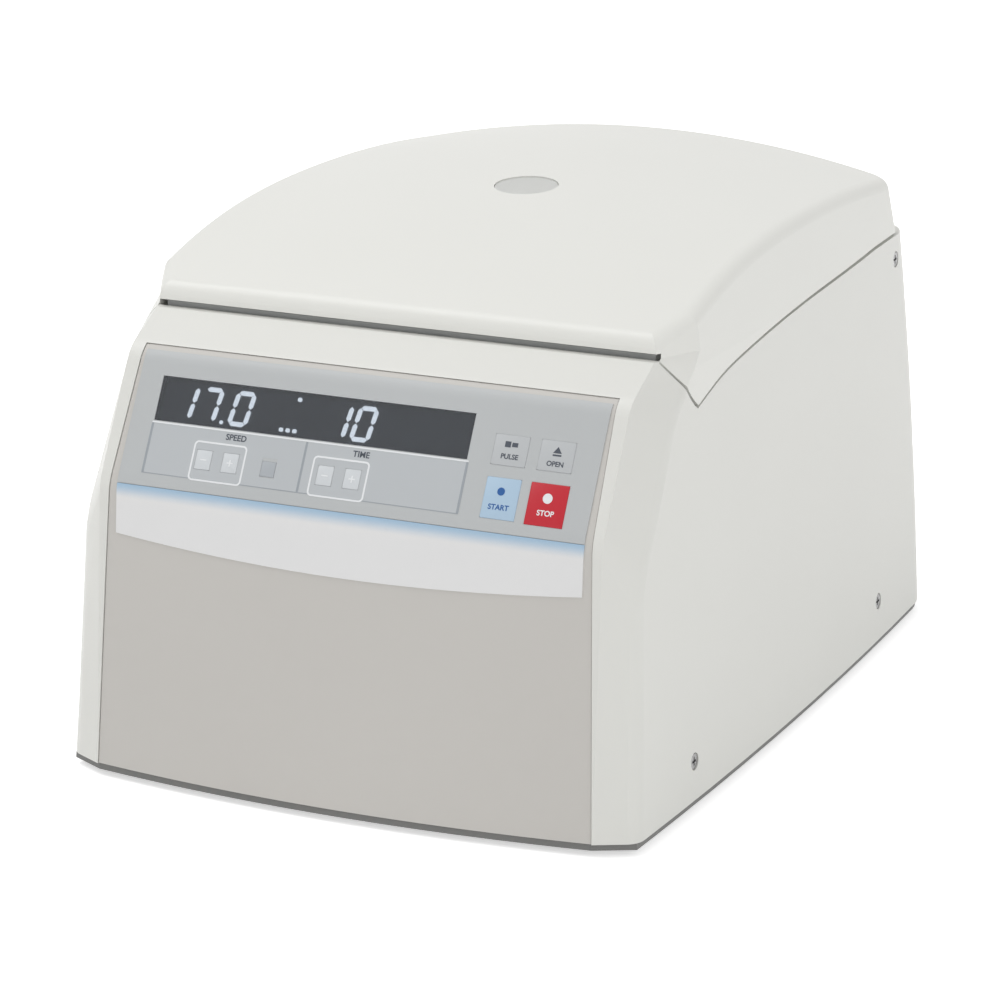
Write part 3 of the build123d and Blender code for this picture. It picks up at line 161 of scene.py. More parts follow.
def lathe_metal(name, colour, rough, depth=0.000004):
    """Turned metal: fine rings round the rotor's upright axis, and slightly uneven gloss."""
    material, tree, surface, place = new_finish(name)
    centred = tree.nodes.new("ShaderNodeMapping")
    centred.inputs["Location"].default_value = (0.0, -ROTOR_AXIS_Y, 0.0)
    tree.links.new(place, centred.inputs["Vector"])
    split = tree.nodes.new("ShaderNodeSeparateXYZ")
    tree.links.new(centred.outputs["Vector"], split.inputs["Vector"])
    flat = tree.nodes.new("ShaderNodeCombineXYZ")
    tree.links.new(split.outputs["X"], flat.inputs["X"])
    tree.links.new(split.outputs["Y"], flat.inputs["Y"])
    radius = tree.nodes.new("ShaderNodeVectorMath")
    radius.operation = "LENGTH"
    tree.links.new(flat.outputs["Vector"], radius.inputs[0])
    course = tree.nodes.new("ShaderNodeCombineXYZ")
    tree.links.new(radius.outputs["Value"], course.inputs["X"])
    tree.links.new(split.outputs["Z"], course.inputs["Y"])
    rings = tree.nodes.new("ShaderNodeTexNoise")
    rings.inputs["Scale"].default_value = RING_SCALE
    rings.inputs["Detail"].default_value = 4.0
    tree.links.new(course.outputs["Vector"], rings.inputs["Vector"])
    clouds = spread(tree, mottle(tree, place, STAIN_SCALE), 0.0, 1.0)
    tone = between(tree, clouds, shade(colour, 0.93), shade(colour, 1.05))
    tree.links.new(tone, surface.inputs["Base Color"])
    surface.inputs["Metallic"].default_value = 1.0
    gloss = spread(tree, rings.outputs["Fac"], rough - 0.06, rough + 0.08)
    tree.links.new(gloss, surface.inputs["Roughness"])
    relief(tree, surface, rings.outputs["Fac"], depth)
    return material


def cast_metal(name, colour, rough, grain, depth):
    """Cast or plated metal with a fine even grain."""
    material = moulded(name, colour, rough, grain, depth, drift=0.06)
    material.node_tree.nodes["Principled BSDF"].inputs["Metallic"].default_value = 1.0
    return material


def layered_metal(name, colour, joint):
    """A stack of thin sheets: dark joints, this many metres apart up the stack."""
    material, tree, surface, place = new_finish(name)
    bands = tree.nodes.new("ShaderNodeTexWave")
    bands.bands_direction = "Z"
    bands.inputs["Scale"].default_value = WAVE_LENGTH / joint
    bands.inputs["Distortion"].default_value = 0.4
    tree.links.new(place, bands.inputs["Vector"])
    tone = between(tree, bands.outputs["Fac"], shade(colour, 0.45), colour)
    tree.links.new(tone, surface.inputs["Base Color"])
    surface.inputs["Metallic"].default_value = 0.9
    surface.inputs["Roughness"].default_value = 0.45
    relief(tree, surface, bands.outputs["Fac"], 0.0001)
    return material


cast_alloy = cast_metal("cast_alloy", srgb(168, 170, 172), 0.48, 700.0, 0.00008)
ground_steel = lathe_metal("ground_steel", srgb(196, 197, 198), 0.22)
core_sheets = layered_metal("core_sheets", srgb(120, 122, 126), CORE_JOINT)
for name in ("motor_housing", "motor_mount", "latch_motor"):
    dress(name, cast_alloy)
for name in ("motor_shaft", "motor_bearings", "drive_hub", "rotor_nut"):
    dress(name, ground_steel)
for name in ("stator_core", "motor_rotor"):
    dress(name, core_sheets)

winding_copper = layered_metal("winding_copper", srgb(196, 112, 62), WINDING_JOINT)
dress("stator_windings", winding_copper)

mount_rubber = moulded("mount_rubber", srgb(30, 30, 31), 0.6, grain=700.0, drift=0.12)
for name in ("vibration_mounts", "shaft_boot", "rotor_lid_seal"):
    dress(name, mount_rubber)

# Power electronics.
# A coated circuit board on four steel posts carries the motor drive: sleeved capacitors,
# an extruded aluminium heat sink with a bead-blasted skin, and a choke.


def circuit_board(name, colour):
    """Solder mask over copper: traces show as a faint raised maze."""
    material, tree, surface, place = new_finish(name)
    cells = tree.nodes.new("ShaderNodeTexBrick")
    cells.inputs["Scale"].default_value = 160.0
    cells.inputs["Mortar Size"].default_value = 0.06
    cells.inputs["Color1"].default_value = (0, 0, 0, 1)
    cells.inputs["Color2"].default_value = (0.2, 0.2, 0.2, 1)
    cells.inputs["Mortar"].default_value = (1, 1, 1, 1)
    tree.links.new(place, cells.inputs["Vector"])
    tone = between(tree, cells.outputs["Fac"], colour, shade(colour, 1.9))
    tree.links.new(tone, surface.inputs["Base Color"])
    surface.inputs["Roughness"].default_value = 0.32
    relief(tree, surface, cells.outputs["Fac"], 0.00004)
    return material


board_mask = circuit_board("board_mask", srgb(24, 84, 52))
for name in ("power_board", "control_board"):
    dress(name, board_mask)

can_sleeve = moulded("can_sleeve", srgb(26, 30, 42), 0.3, grain=300.0, depth=0.00001, drift=0.1)
dress("capacitors", can_sleeve)

blasted_alloy = cast_metal("blasted_alloy", srgb(150, 152, 156), 0.42, 1800.0, 0.00003)
dress("heat_sink", blasted_alloy)

# Casing.
# One large off-white moulding with a bowed front, bevelled corners, a deck round the chamber
# and a ledge for the hinges. Its gloss is soft, and six plated screws hold it to the base.

case_white = moulded("case_white", srgb(229, 229, 224), 0.42, grain=1100.0, depth=0.000012, drift=0.008)
dress("housing_shell", case_white, 24.0)

screw_plate = cast_metal("screw_plate", srgb(150, 150, 150), 0.32, 1500.0, 0.00002)
dress("housing_screws", screw_plate)

# Back panel, mains inlet and power switch.
# A coated steel sheet closes the frame at the back, with punched vents. The inlet, its fuse
# drawer and the rocker switch are black moulded nylon; the three inlet pins are plated brass.

dress("back_panel", powder_coat)
nylon_black = moulded("nylon_black", srgb(38, 38, 40), 0.5, grain=900.0, depth=0.00003, drift=0.1)
for name in ("mains_inlet", "fuse_drawer", "switch_frame", "power_rocker", "key_switches", "lid_switch"):
    dress(name, nylon_black)

white_ink = moulded("white_ink", srgb(238, 240, 242), 0.4, grain=1500.0, depth=0.000004, drift=0.01)
INK_RISE = 0.00003
INK_SPREAD = 0.00007
ROCKER_TURN = math.radians(8.0)
MARK_OUT = 0.0062
MARK_RISE = 0.0062
MARK_SIZE = 0.005


def print_word(name, text, spot, up, out, size, material, body):
    """A printed word, centred on a spot and facing out, as a thin raised mesh."""
    curve = bpy.data.curves.new(name, "FONT")
    curve.body = text
    curve.size = size
    curve.align_x = "CENTER"
    curve.align_y = "CENTER"
    curve.extrude = INK_RISE
    curve.offset = INK_SPREAD
    drawn = bpy.data.objects.new(name, curve)
    bpy.context.scene.collection.objects.link(drawn)
    bpy.context.view_layer.update()
    depsgraph = bpy.context.evaluated_depsgraph_get()
    mesh = bpy.data.meshes.new_from_object(drawn.evaluated_get(depsgraph))
    bpy.data.objects.remove(drawn)
    turn = Matrix((up.cross(out), up, out)).transposed().to_4x4()
    mesh.transform(Matrix.Translation(spot) @ turn)
    mesh.materials.clear()
    mesh.materials.append(material)
    piece = bpy.data.objects.new(name, mesh)
    bpy.context.scene.collection.objects.link(piece)
    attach(piece, body)
    return piece


# The rocker's upper half stands upright and its lower half leans by twice the rocker's turn.
rocker_axle = [joint for joint in frame["joints"] if joint["name"] == "power_switch_rock"][0]["pos_m"]
for name, word, half in (("rocker_mark_on", "I", 1), ("rocker_mark_off", "O", -1)):
    lean = 0.0 if half > 0 else 2 * ROCKER_TURN
    along = Vector((0, -math.sin(lean), math.cos(lean)))
    outward = Vector((0, math.cos(lean), math.sin(lean)))
    rise = half * MARK_RISE
    reach = MARK_OUT + abs(rise) * math.tan(ROCKER_TURN)
    spot_y = reach * math.cos(ROCKER_TURN) - rise * math.sin(ROCKER_TURN)
    spot_z = reach * math.sin(ROCKER_TURN) + rise * math.cos(ROCKER_TURN)
    spot = Vector(rocker_axle) + Vector((0, spot_y, spot_z))
    print_word(name, word, spot, along, outward, MARK_SIZE, white_ink, "rocker")

contact_brass = cast_metal("contact_brass", srgb(206, 184, 120), 0.25, 1500.0, 0.00001)
dress("inlet_pins", contact_brass)

# Chamber.
# The bowl is spun from stainless sheet, so fine rings run round it, and a moulded silicone
# seal sits on its rolled lip.

spun_steel = lathe_metal("spun_steel", srgb(205, 206, 206), 0.2, depth=0.000008)
dress("chamber_bowl", spun_steel)

seal_silicone = moulded("seal_silicone", srgb(110, 112, 114), 0.55, grain=400.0, depth=0.00003, drift=0.06)
dress("chamber_seal", seal_silicone)

# Rotor and rotor lid.
# The rotor is machined from solid aluminium and anodised, with slanted bores for the tubes.
# Its lid is turned from the same alloy and locks with a moulded knob.

anodised = lathe_metal("anodised_alloy", srgb(122, 126, 132), 0.34)
dress("rotor", anodised)
lid_anodised = lathe_metal("lid_anodised", srgb(148, 152, 158), 0.3)
dress("rotor_lid", lid_anodised)
knob_nylon = moulded("knob_nylon", srgb(46, 48, 52), 0.45, grain=800.0, depth=0.00003, drift=0.08)
dress("rotor_lid_knob", knob_nylon)

# Lid.
# A crowned off-white moulding, a touch warmer and brighter than the case, over a grey liner.
# A clear round window in a bezel looks down on the spinning rotor.

lid_white = moulded("lid_white", srgb(236, 236, 231), 0.42, grain=1100.0, depth=0.000012, drift=0.008)
dress("lid_shell", lid_white, 40.0)
dress("window_ring", lid_white)

liner_grey = moulded("liner_grey", srgb(176, 178, 178), 0.5, grain=800.0, depth=0.00002, drift=0.03)
dress("lid_liner", liner_grey)

window_clear, tree, surface, place = new_finish("window_clear")
haze = mottle(tree, place, 60.0)
tone = between(tree, spread(tree, haze, 0.0, 1.0), srgb(220, 221, 217), srgb(224, 225, 221))
tree.links.new(tone, surface.inputs["Base Color"])
tree.links.new(spread(tree, haze, 0.28, 0.34), surface.inputs["Roughness"])
surface.inputs["Transmission Weight"].default_value = 0.2
surface.inputs["IOR"].default_value = 1.46
dress("viewing_window", window_clear)

# Hinges and latch.
# Leaves, brackets, striker and latch are pressed from zinc-plated sheet; the pins are ground
# steel, the springs are wound from blued wire, and the hook is a hardened stamping.

zinc_sheet = cast_metal("zinc_sheet", srgb(172, 173, 170), 0.36, 260.0, 0.00003)
for name in ("hinge_leaves", "hinge_brackets", "lid_striker", "latch_bracket"):
    dress(name, zinc_sheet)
dress("pivot_pins", ground_steel)
spring_wire = cast_metal("spring_wire", srgb(92, 94, 100), 0.3, 1800.0, 0.00001)
for name in ("hinge_springs", "latch_hook"):
    dress(name, spring_wire)

# Front panel and band.
# The grey panel is one moulding between the pillars. The band under the keypad is a printed
# strip: off-white, with a blue line along its top that fades downwards.

panel_grey = moulded("panel_grey", srgb(205, 202, 197), 0.5, grain=1300.0, depth=0.00002, drift=0.01)
dress("front_panel", panel_grey, 24.0)

BAND_TOP_Z = 0.1153
BAND_FADE = 0.0056
band_print, tree, surface, place = new_finish("band_print")
split = tree.nodes.new("ShaderNodeSeparateXYZ")
tree.links.new(place, split.inputs["Vector"])
fade = tree.nodes.new("ShaderNodeMapRange")
fade.interpolation_type = "SMOOTHSTEP"
fade.inputs["From Min"].default_value = BAND_TOP_Z - BAND_FADE
fade.inputs["From Max"].default_value = BAND_TOP_Z
tree.links.new(split.outputs["Z"], fade.inputs["Value"])
tone = between(tree, fade.outputs["Result"], srgb(234, 234, 234), srgb(166, 195, 219))
tree.links.new(tone, surface.inputs["Base Color"])
fine = mottle(tree, place, 1500.0)
tree.links.new(spread(tree, fine, 0.34, 0.42), surface.inputs["Roughness"])
relief(tree, surface, fine, 0.00001)
dress("name_band", band_print)

# Keypad foil.
# A screen-printed polyester foil, grey-blue with a satin face, with a paler field under the display,
# a white outline round each pair of keys and small dark captions. Dark lines edge the field;
# those along its left and bottom edges are painted shadow.

KEYPAD_ORIGIN = Vector((0.0, -0.1596, 0.1153))
KEYPAD_UP = Vector((0.0, 0.0254, 0.0464)).normalized()
KEYPAD_OUT = Vector((0.0, -KEYPAD_UP.z, KEYPAD_UP.y))
# The sizes below are in millimetres, across and up the slope from the foil's origin.
FIELD = (-85.6, 44.0, 5.6, 24.8)
FIELD_SPLIT = -20.9
KEY_ROW = (9.2, 16.8)
BETWEEN_KEYS = ((-85.6, -65.2), (-58.4, -54.0), (-47.2, -37.5), (-31.5, -14.4), (-7.6, -3.2), (3.6, 44.0))
KEY_PAIRS = ((-55.7, 22.3), (-5.3, 23.2))
PAIR_ROW, PAIR_HEIGHT, PAIR_CORNER, PAIR_LINE = 12.5, 15.4, 1.8, 0.7
PRINT_FOOT, PRINT_THIN, PRINT_MIDDLE, PRINT_THICK, PRINT_FULL = 0.02, 0.06, 0.08, 0.09, 0.12
RULE = 0.9
TOP_RULE = (24.85, 25.45)
CORNER_STEPS = 6
SMOOTH_ANGLE = math.radians(30.0)


def on_keypad(x, y, out=0.0):
    """Point on the keypad face from millimetres across, up the slope and outwards."""
    return KEYPAD_ORIGIN + Vector((x / 1000, 0, 0)) + KEYPAD_UP * (y / 1000) + KEYPAD_OUT * (out / 1000)


def rounded_outline(width, height, corner):
    """Points round a rectangle with round corners, in millimetres."""
    points = []
    for index, (sx, sy) in enumerate(((1, 1), (-1, 1), (-1, -1), (1, -1))):
        for step in range(CORNER_STEPS + 1):
            turn = math.radians(90 * index + 90 * step / CORNER_STEPS)
            x = sx * (width / 2 - corner) + corner * math.cos(turn)
            y = sy * (height / 2 - corner) + corner * math.sin(turn)
            points.append((x, y))
    return points


def as_piece(name, bm, material, body):
    """Turns a finished bmesh into a piece that rides on a body."""
    bmesh.ops.recalc_face_normals(bm, faces=bm.faces[:])
    mesh = bpy.data.meshes.new(name)
    bm.to_mesh(mesh)
    bm.free()
    mesh.materials.append(material)
    mesh.shade_smooth()
    mesh.set_sharp_from_angle(angle=SMOOTH_ANGLE)
    piece = bpy.data.objects.new(name, mesh)
    bpy.context.scene.collection.objects.link(piece)
    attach(piece, body)
    return piece


def add_plate(bm, x, y, outline, low, high, edge=0.0, lean=0.0):
    """Closed plate on the keypad face, its top edge eased by edge, slanted by lean."""
    levels = [(low, 0.0), (high, 0.0)]
    if edge:
        levels = [(low, 0.0), (high - edge, 0.0), (high - edge * 0.3, edge * 0.3), (high, edge)]
    reach_x = max(abs(px) for px, py in outline)
    reach_y = max(abs(py) for px, py in outline)
    rings = []
    for out, inset in levels:
        ring = []
        for px, py in outline:
            fx = px * (1 - inset / reach_x)
            fy = py * (1 - inset / reach_y)
            ring.append(bm.verts.new(on_keypad(x + fx + fy * lean, y + fy, out)))
        rings.append(ring)
    count = len(outline)
    for lower, upper in zip(rings, rings[1:]):
        for i in range(count):
            j = (i + 1) % count
            bm.faces.new((lower[i], lower[j], upper[j], upper[i]))
    bm.faces.new(rings[0][::-1])
    bm.faces.new(rings[-1])


def add_strip(bm, x_range, y_range, corner, high):
    """Thin printed rectangle on the keypad face between two pairs of limits."""
    x0, x1 = x_range
    y0, y1 = y_range
    outline = rounded_outline(x1 - x0, y1 - y0, corner)
    add_plate(bm, (x0 + x1) / 2, (y0 + y1) / 2, outline, PRINT_FOOT, high)


def add_frame(bm, x, y, width, height, corner, line, low, high):
    """Closed outline of one line width round a rectangle on the keypad face."""
    outer = rounded_outline(width, height, corner)
    inner = rounded_outline(width - 2 * line, height - 2 * line, corner - line)
    rings = []
    for outline, out in ((outer, low), (outer, high), (inner, high), (inner, low)):
        rings.append([bm.verts.new(on_keypad(x + px, y + py, out)) for px, py in outline])
    count = len(outer)
    for first, second in zip(rings, rings[1:] + rings[:1]):
        for i in range(count):
            j = (i + 1) % count
            bm.faces.new((first[i], first[j], second[j], second[i]))


def satin(name, colour, rough=0.4, drift=0.012):
    """Printed or moulded satin face with a very fine grain."""
    return moulded(name, colour, rough, grain=1600.0, depth=0.000006, drift=drift)


foil_grey = satin("foil_grey", srgb(191, 194, 195), 0.38)
dress("keypad_overlay", foil_grey, 24.0)

field_print = satin("field_print", srgb(191, 195, 198), 0.38)
dark_ink = satin("dark_ink", srgb(74, 80, 90), 0.45, 0.05)
# Dark grey for the lines round the field: partly print, partly painted shadow.
line_ink_and_painted_shadow = satin("line_ink_and_painted_shadow", srgb(158, 164, 170), 0.45, 0.03)

# The field is printed in strips round the keys, so that none of it crosses a key's hole.
strips = bmesh.new()
left, right, low, high = FIELD
add_strip(strips, (left, right), (low, KEY_ROW[0]), 0.5, PRINT_THIN)
add_strip(strips, (left, right), (KEY_ROW[1], high), 0.5, PRINT_THIN)
for gap in BETWEEN_KEYS:
    add_strip(strips, gap, KEY_ROW, 0.3, PRINT_THIN)
as_piece("field_print_strips", strips, field_print, "case")

outlines = bmesh.new()
for x, width in KEY_PAIRS:
    add_frame(outlines, x, PAIR_ROW, width, PAIR_HEIGHT, PAIR_CORNER, PAIR_LINE, PRINT_FOOT, PRINT_FULL)
as_piece("key_pair_outlines", outlines, white_ink, "case")

# Dark lines run down the field's left edge, its middle and its right edge, and along its bottom. The
# middle one is print. The left and bottom ones are painted shadow along the field's edge.
rules_and_painted_shadow = bmesh.new()
for x in (left - RULE / 2, FIELD_SPLIT, right + RULE / 2):
    add_strip(rules_and_painted_shadow, (x - RULE / 2, x + RULE / 2), (low, high), 0.3, PRINT_THICK)
add_strip(rules_and_painted_shadow, (left - RULE, right + RULE), (low - RULE / 3, low), 0.1, PRINT_MIDDLE)
as_piece("field_rules_and_painted_shadow", rules_and_painted_shadow, line_ink_and_painted_shadow, "case")

pale_rule = bmesh.new()
add_strip(pale_rule, (left - RULE, right + RULE), TOP_RULE, 0.25, PRINT_MIDDLE)
as_piece("field_top_rule", pale_rule, white_ink, "case")

# Display.
# Behind a smoked window a dark module shows lit digits of slanted bars, with a small mark
# above and below. The window lies flush with the foil.

smoke, tree, surface, place = new_finish("smoked_window")
haze = mottle(tree, place, 900.0)
tone = between(tree, spread(tree, haze, 0.0, 1.0), srgb(138, 144, 152), srgb(146, 152, 160))
tree.links.new(tone, surface.inputs["Base Color"])
tree.links.new(spread(tree, haze, 0.16, 0.24), surface.inputs["Roughness"])
surface.inputs["Transmission Weight"].default_value = 0.88
surface.inputs["IOR"].default_value = 1.45
dress("display_window", smoke)

module_black = moulded("module_black", srgb(77, 81, 87), 0.6, grain=900.0, depth=0.00002, drift=0.05)
dress("display_module", module_black)

digit_light, tree, surface, place = new_finish("digit_light")
glow = mottle(tree, place, 700.0)
tone = between(tree, spread(tree, glow, 0.0, 1.0), srgb(228, 230, 230), srgb(240, 241, 240))
tree.links.new(tone, surface.inputs["Base Color"])
tree.links.new(tone, surface.inputs["Emission Color"])
surface.inputs["Emission Strength"].default_value = 3.2
surface.inputs["Roughness"].default_value = 0.5

DIGIT_ROW = 34.5
DIGIT_WIDTH, DIGIT_HEIGHT = 6.6, 12.0
DIGIT_LEAN = math.tan(math.radians(8.0))
BAR_WIDTH = 1.75
BAR_GAP = 0.35
DIGIT_LOW, DIGIT_HIGH = -3.4, -3.1
LIT_BARS = {"0": "TBLMRN", "1": "RN", "7": "TRN"}
DIGIT_PLACES = (("1", -75.6), ("7", -65.4), ("0", -51.8), ("1", -11.0), ("0", -0.8))
POINT_X = -59.2
POINT_SIZE = (1.5, 1.5, 0.7)
MARK_SHAPE = (1.7, 1.5, 0.5)
MARKS = ((-28.8, 40.7), (-34.0, 28.6), (-31.2, 28.6), (-28.4, 28.6))
# Each bar's place in its digit: across, up, and whether it stands upright.
BAR_PLACES = {
    "T": (0, DIGIT_HEIGHT / 2, False),
    "B": (0, -DIGIT_HEIGHT / 2, False),
    "L": (-DIGIT_WIDTH / 2, DIGIT_HEIGHT / 4, True),
    "M": (-DIGIT_WIDTH / 2, -DIGIT_HEIGHT / 4, True),
    "R": (DIGIT_WIDTH / 2, DIGIT_HEIGHT / 4, True),
    "N": (DIGIT_WIDTH / 2, -DIGIT_HEIGHT / 4, True),
}


def bar_outline(length, upright):
    """A bar with pointed ends, lying or upright."""
    half, width = length / 2, BAR_WIDTH / 2
    tip = half - width
    points = [(half, 0), (tip, width), (-tip, width), (-half, 0), (-tip, -width), (tip, -width)]
    return [(-y, x) for x, y in points] if upright else points


digits = bmesh.new()
for char, x in DIGIT_PLACES:
    for code in LIT_BARS[char]:
        dx, dy, upright = BAR_PLACES[code]
        outline = bar_outline((DIGIT_HEIGHT / 2 if upright else DIGIT_WIDTH) - BAR_GAP, upright)
        bar_x = x + dx + dy * DIGIT_LEAN
        add_plate(digits, bar_x, DIGIT_ROW + dy, outline, DIGIT_LOW, DIGIT_HIGH, lean=DIGIT_LEAN)
point_y = DIGIT_ROW - DIGIT_HEIGHT / 2
add_plate(digits, POINT_X, point_y, rounded_outline(*POINT_SIZE), DIGIT_LOW, DIGIT_HIGH)
for x, y in MARKS:
    add_plate(digits, x, y, rounded_outline(*MARK_SHAPE), DIGIT_LOW, DIGIT_HIGH)
lit = as_piece("lit_digits", digits, digit_light, "case")
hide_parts("display_digits")

# Keys.
# Each is a moulded cap that comes up through the foil, with eased edges and a rim that stops it
# underneath. Start is pale blue and stop is red; the others are near the foil's grey.

KEY_TOP = 0.22
KEY_EDGE = 0.18
KEY_FOOT = -7.2
KEY_STOP = (-4.5, -3.1)
KEY_RIM = 1.6
FILL = 0.2
LARGE_KEY = 8.0
LARGE_CORNER, SMALL_CORNER = 0.45, 0.35
SIGN_SINK, SIGN_RISE = 0.02, 0.06
DISC_STEPS = 24
# Each key: across, up the slope, width and height in millimetres.
KEYS = {
    "key_speed_down": (-61.8, 13.0, 6.0, 7.0),
    "key_speed_up": (-50.6, 13.0, 6.0, 7.0),
    "key_unit": (-34.5, 12.6, 5.4, 5.4),
    "key_time_down": (-11.0, 13.0, 6.0, 7.0),
    "key_time_up": (0.2, 13.0, 6.0, 7.0),
    "key_pulse": (60.3, 31.0, 13.2, 11.0),
    "key_open": (78.6, 31.0, 13.2, 11.0),
    "key_start": (60.3, 13.0, 13.2, 15.0),
    "key_stop": (78.6, 12.8, 14.7, 15.4),
}
key_grey = satin("key_grey", srgb(192, 195, 197))
key_pale = satin("key_pale", srgb(214, 218, 221))
key_blue = satin("key_blue", srgb(178, 203, 224), 0.36)
key_red = satin("key_red", srgb(196, 26, 44), 0.34, 0.02)
unit_grey = satin("unit_grey", srgb(176, 181, 186))
key_finish = {"key_start": key_blue, "key_stop": key_red, "key_unit": unit_grey}
for name, (x, y, size_x, size_y) in KEYS.items():
    cap = bmesh.new()
    corner = LARGE_CORNER if size_x > LARGE_KEY else SMALL_CORNER
    face = rounded_outline(size_x + 2 * FILL, size_y + 2 * FILL, corner)
    add_plate(cap, x, y, face, KEY_FOOT, KEY_TOP, edge=KEY_EDGE)
    add_plate(cap, x, y, rounded_outline(size_x + KEY_RIM, size_y + KEY_RIM, corner), *KEY_STOP)
    small = name.startswith(("key_speed", "key_time"))
    finish = key_finish.get(name, key_pale if small else key_grey)
    piece = as_piece(name + "_cap", cap, finish, name + "_cap")
    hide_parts(name)


def sign(name, x, y, outlines, material, body):
    """Small raised print on a key, from closed outlines about x and y."""
    bm = bmesh.new()
    for outline in outlines:
        cx = sum(px for px, py in outline) / len(outline)
        cy = sum(py for px, py in outline) / len(outline)
        local = [(px - cx, py - cy) for px, py in outline]
        add_plate(bm, x + cx, y + cy, local, KEY_TOP - SIGN_SINK, KEY_TOP + SIGN_RISE)
    return as_piece(name, bm, material, body)


def caption(name, text, x, y, size, material, body, out=KEY_TOP):
    """A word printed on the keypad or on a key."""
    spot = on_keypad(x, y, out + PRINT_FOOT)
    return print_word(name, text, spot, KEYPAD_UP, KEYPAD_OUT, size / 1000, material, body)


def disc(radius):
    """Points round a circle."""
    turns = [2 * math.pi * i / DISC_STEPS for i in range(DISC_STEPS)]
    return [(radius * math.cos(turn), radius * math.sin(turn)) for turn in turns]


def bar(low_x, high_x, low_y, high_y):
    """Corners of a rectangle between its limits."""
    return [(low_x, low_y), (high_x, low_y), (high_x, high_y), (low_x, high_y)]


blue_ink = satin("blue_ink", srgb(36, 92, 158), drift=0.03)
sign("pulse_sign_left", 59.0, 33.2, [bar(-1.2, 1.1, -1.1, 1.1)], dark_ink, "key_pulse_cap")
sign("pulse_sign_right", 61.7, 33.2, [bar(-1.1, 1.2, -0.8, 0.8)], dark_ink, "key_pulse_cap")
caption("pulse_word", "PULSE", 60.4, 28.6, 2.6, dark_ink, "key_pulse_cap")
open_sign = [[(-1.7, -0.9), (1.7, -0.9), (0, 1.5)], bar(-1.7, 1.7, -2.0, -1.4)]
sign("open_sign", 78.7, 33.0, open_sign, dark_ink, "key_open_cap")
caption("open_word", "OPEN", 78.6, 28.0, 2.6, dark_ink, "key_open_cap")
sign("start_sign", 60.0, 15.6, [disc(1.5)], blue_ink, "key_start_cap")
caption("start_word", "START", 60.1, 9.6, 2.8, blue_ink, "key_start_cap")
sign("stop_sign", 78.5, 15.2, [disc(1.9)], white_ink, "key_stop_cap")
caption("stop_word", "STOP", 78.7, 9.6, 2.8, white_ink, "key_stop_cap")
caption("speed_word", "SPEED", -50.2, 22.7, 3.2, dark_ink, "case", out=PRINT_THIN)
caption("time_word", "TIME", 1.9, 22.5, 3.2, dark_ink, "case", out=PRINT_THIN)
ARM, HALF_ARM = 1.3, 0.25
minus = [bar(-ARM, ARM, -HALF_ARM, HALF_ARM)]
plus = minus + [bar(-HALF_ARM, HALF_ARM, HALF_ARM, ARM), bar(-HALF_ARM, HALF_ARM, -ARM, -HALF_ARM)]
for pair in ("key_speed", "key_time"):
    for name, bars in ((pair + "_down", minus), (pair + "_up", plus)):
        x, y = KEYS[name][:2]
        sign(name + "_sign", x, y, bars, white_ink, name + "_cap")

# Studio.
# A plain pale bench top under soft lamps: one broad lamp overhead to the left, one weaker
# lamp to the right, a faint low one in front, and an even pale surround. The bench top glows
# where it is seen or mirrored. This painted light whitens it, and the glow is weaker near the
# instrument, so there it is painted shade round the instrument.

FLOOR_HALF = 6.0
# Painted light on the bench top: its glow is NEAR_GLOW within NEAR_REACH metres of the origin and rises to
# FAR_GLOW by FAR_REACH. The weaker glow near the instrument is painted shade.
NEAR_REACH, FAR_REACH = 0.25, 0.75
NEAR_GLOW, FAR_GLOW = 0.56, 0.8
SKY_LIGHT, SKY_SEEN = 0.53, 1.0
LAMP_AIM = Vector((0, 0, 0.1))
AZIMUTH = math.radians(24.4)
ELEVATION = math.radians(15.94)

floor_mesh = bpy.data.meshes.new("bench_top")
corners = [(FLOOR_HALF * sx, FLOOR_HALF * sy, 0) for sx, sy in ((-1, -1), (1, -1), (1, 1), (-1, 1))]
floor_mesh.from_pydata(corners, [], [(0, 1, 2, 3)])
floor = bpy.data.objects.new("bench_top", floor_mesh)
bpy.context.scene.collection.objects.link(floor)
floor_painted_glow, tree, surface, place = new_finish("bench_painted_glow")
surface.inputs["Base Color"].default_value = (0.9, 0.9, 0.9, 1)
surface.inputs["Roughness"].default_value = 0.7
reach = tree.nodes.new("ShaderNodeVectorMath")
reach.operation = "LENGTH"
tree.links.new(place, reach.inputs[0])
rise = tree.nodes.new("ShaderNodeMapRange")
rise.interpolation_type = "SMOOTHSTEP"
rise.inputs["From Min"].default_value = NEAR_REACH
rise.inputs["From Max"].default_value = FAR_REACH
rise.inputs["To Min"].default_value = NEAR_GLOW
rise.inputs["To Max"].default_value = FAR_GLOW
tree.links.new(reach.outputs["Value"], rise.inputs["Value"])


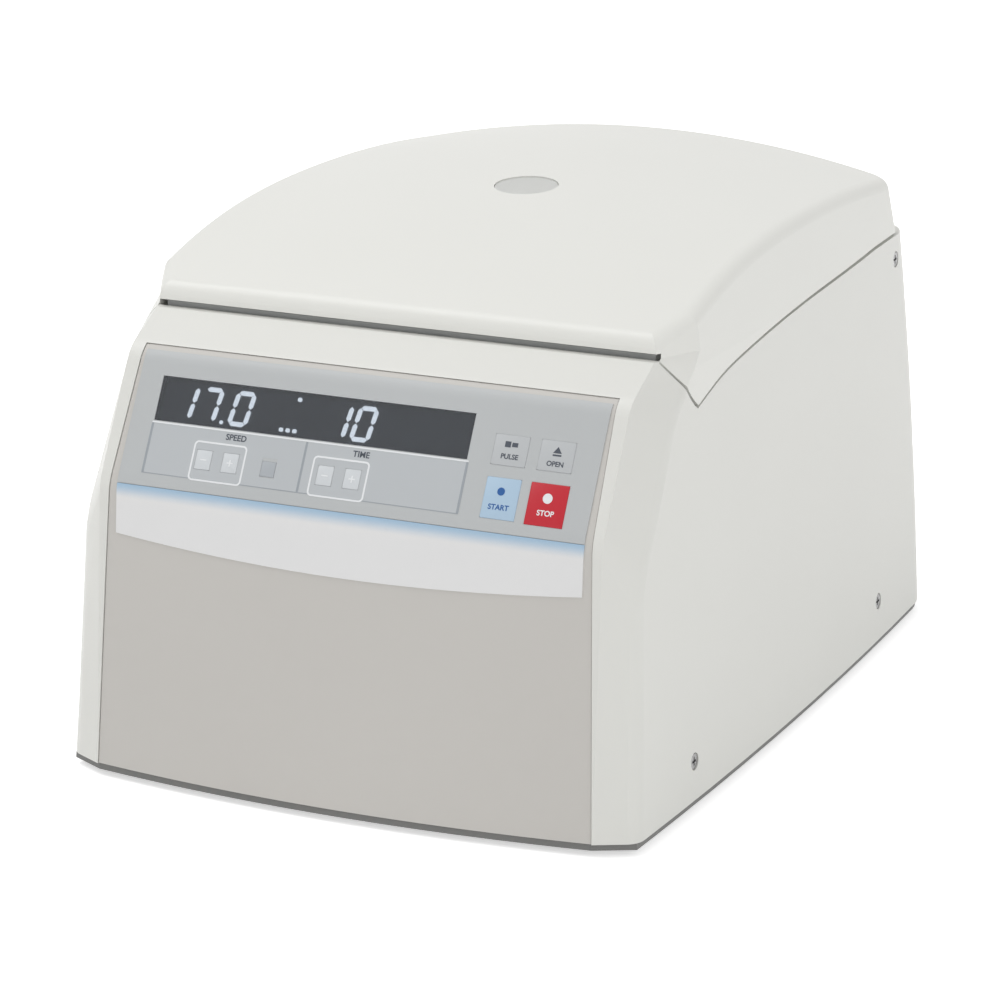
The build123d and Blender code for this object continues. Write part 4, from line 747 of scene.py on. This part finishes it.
def looked_at(tree):
    """One for camera, glossy and transmission rays, zero for the light that falls on things."""
    rays = tree.nodes.new("ShaderNodeLightPath")
    seen = rays.outputs["Is Camera Ray"]
    for kind in ("Is Glossy Ray", "Is Transmission Ray"):
        either = tree.nodes.new("ShaderNodeMath")
        either.operation = "MAXIMUM"
        tree.links.new(seen, either.inputs[0])
        tree.links.new(rays.outputs[kind], either.inputs[1])
        seen = either.outputs["Value"]
    return seen


# Painted light: the bench top's glow, shown only to camera, glossy and transmission rays.
glow = tree.nodes.new("ShaderNodeMath")
glow.operation = "MULTIPLY"
tree.links.new(rise.outputs["Result"], glow.inputs[0])
tree.links.new(looked_at(tree), glow.inputs[1])
surface.inputs["Emission Color"].default_value = (1, 1, 1, 1)
tree.links.new(glow.outputs["Value"], surface.inputs["Emission Strength"])
floor_mesh.materials.append(floor_painted_glow)

world = bpy.data.worlds.new("surround")
bpy.context.scene.world = world
world.use_nodes = True
air = world.node_tree
sky = air.nodes["Background"]
sky.inputs["Color"].default_value = (1, 1, 1, 1)
level = air.nodes.new("ShaderNodeMapRange")
level.inputs["To Min"].default_value = SKY_LIGHT
level.inputs["To Max"].default_value = SKY_SEEN
air.links.new(looked_at(air), level.inputs["Value"])
air.links.new(level.outputs["Result"], sky.inputs["Strength"])


def lamp(name, place, size, power):
    """Soft square lamp aimed at the middle of the instrument."""
    light = bpy.data.lights.new(name, "AREA")
    light.size = size
    light.energy = power
    stand = bpy.data.objects.new(name, light)
    stand.location = place
    aim = LAMP_AIM - Vector(place)
    stand.rotation_euler = aim.to_track_quat("-Z", "Y").to_euler()
    bpy.context.scene.collection.objects.link(stand)


lamp("overhead_lamp", (-0.9, -0.3, 1.9), 1.2, 14.0)
lamp("right_lamp", (1.8, -0.8, 1.0), 1.2, 8.5)
lamp("front_lamp", (-0.6, -1.6, 0.16), 0.8, 1.8)

view = bpy.data.cameras.new("photo_view")
view.sensor_width = 36.0
view.lens = 145.4
view.shift_x = -0.0265
view.shift_y = -0.0535
view.clip_start = 0.1
view.clip_end = 30.0
camera = bpy.data.objects.new("photo_view", view)
camera.location = (0.64585, -1.42165, 0.54530)
look = Vector((
    -math.sin(AZIMUTH) * math.cos(ELEVATION),
    math.cos(AZIMUTH) * math.cos(ELEVATION),
    -math.sin(ELEVATION),
))
camera.rotation_euler = look.to_track_quat("-Z", "Y").to_euler()
bpy.context.scene.collection.objects.link(camera)
bpy.context.scene.camera = camera
bpy.context.scene.view_settings.view_transform = "Standard"
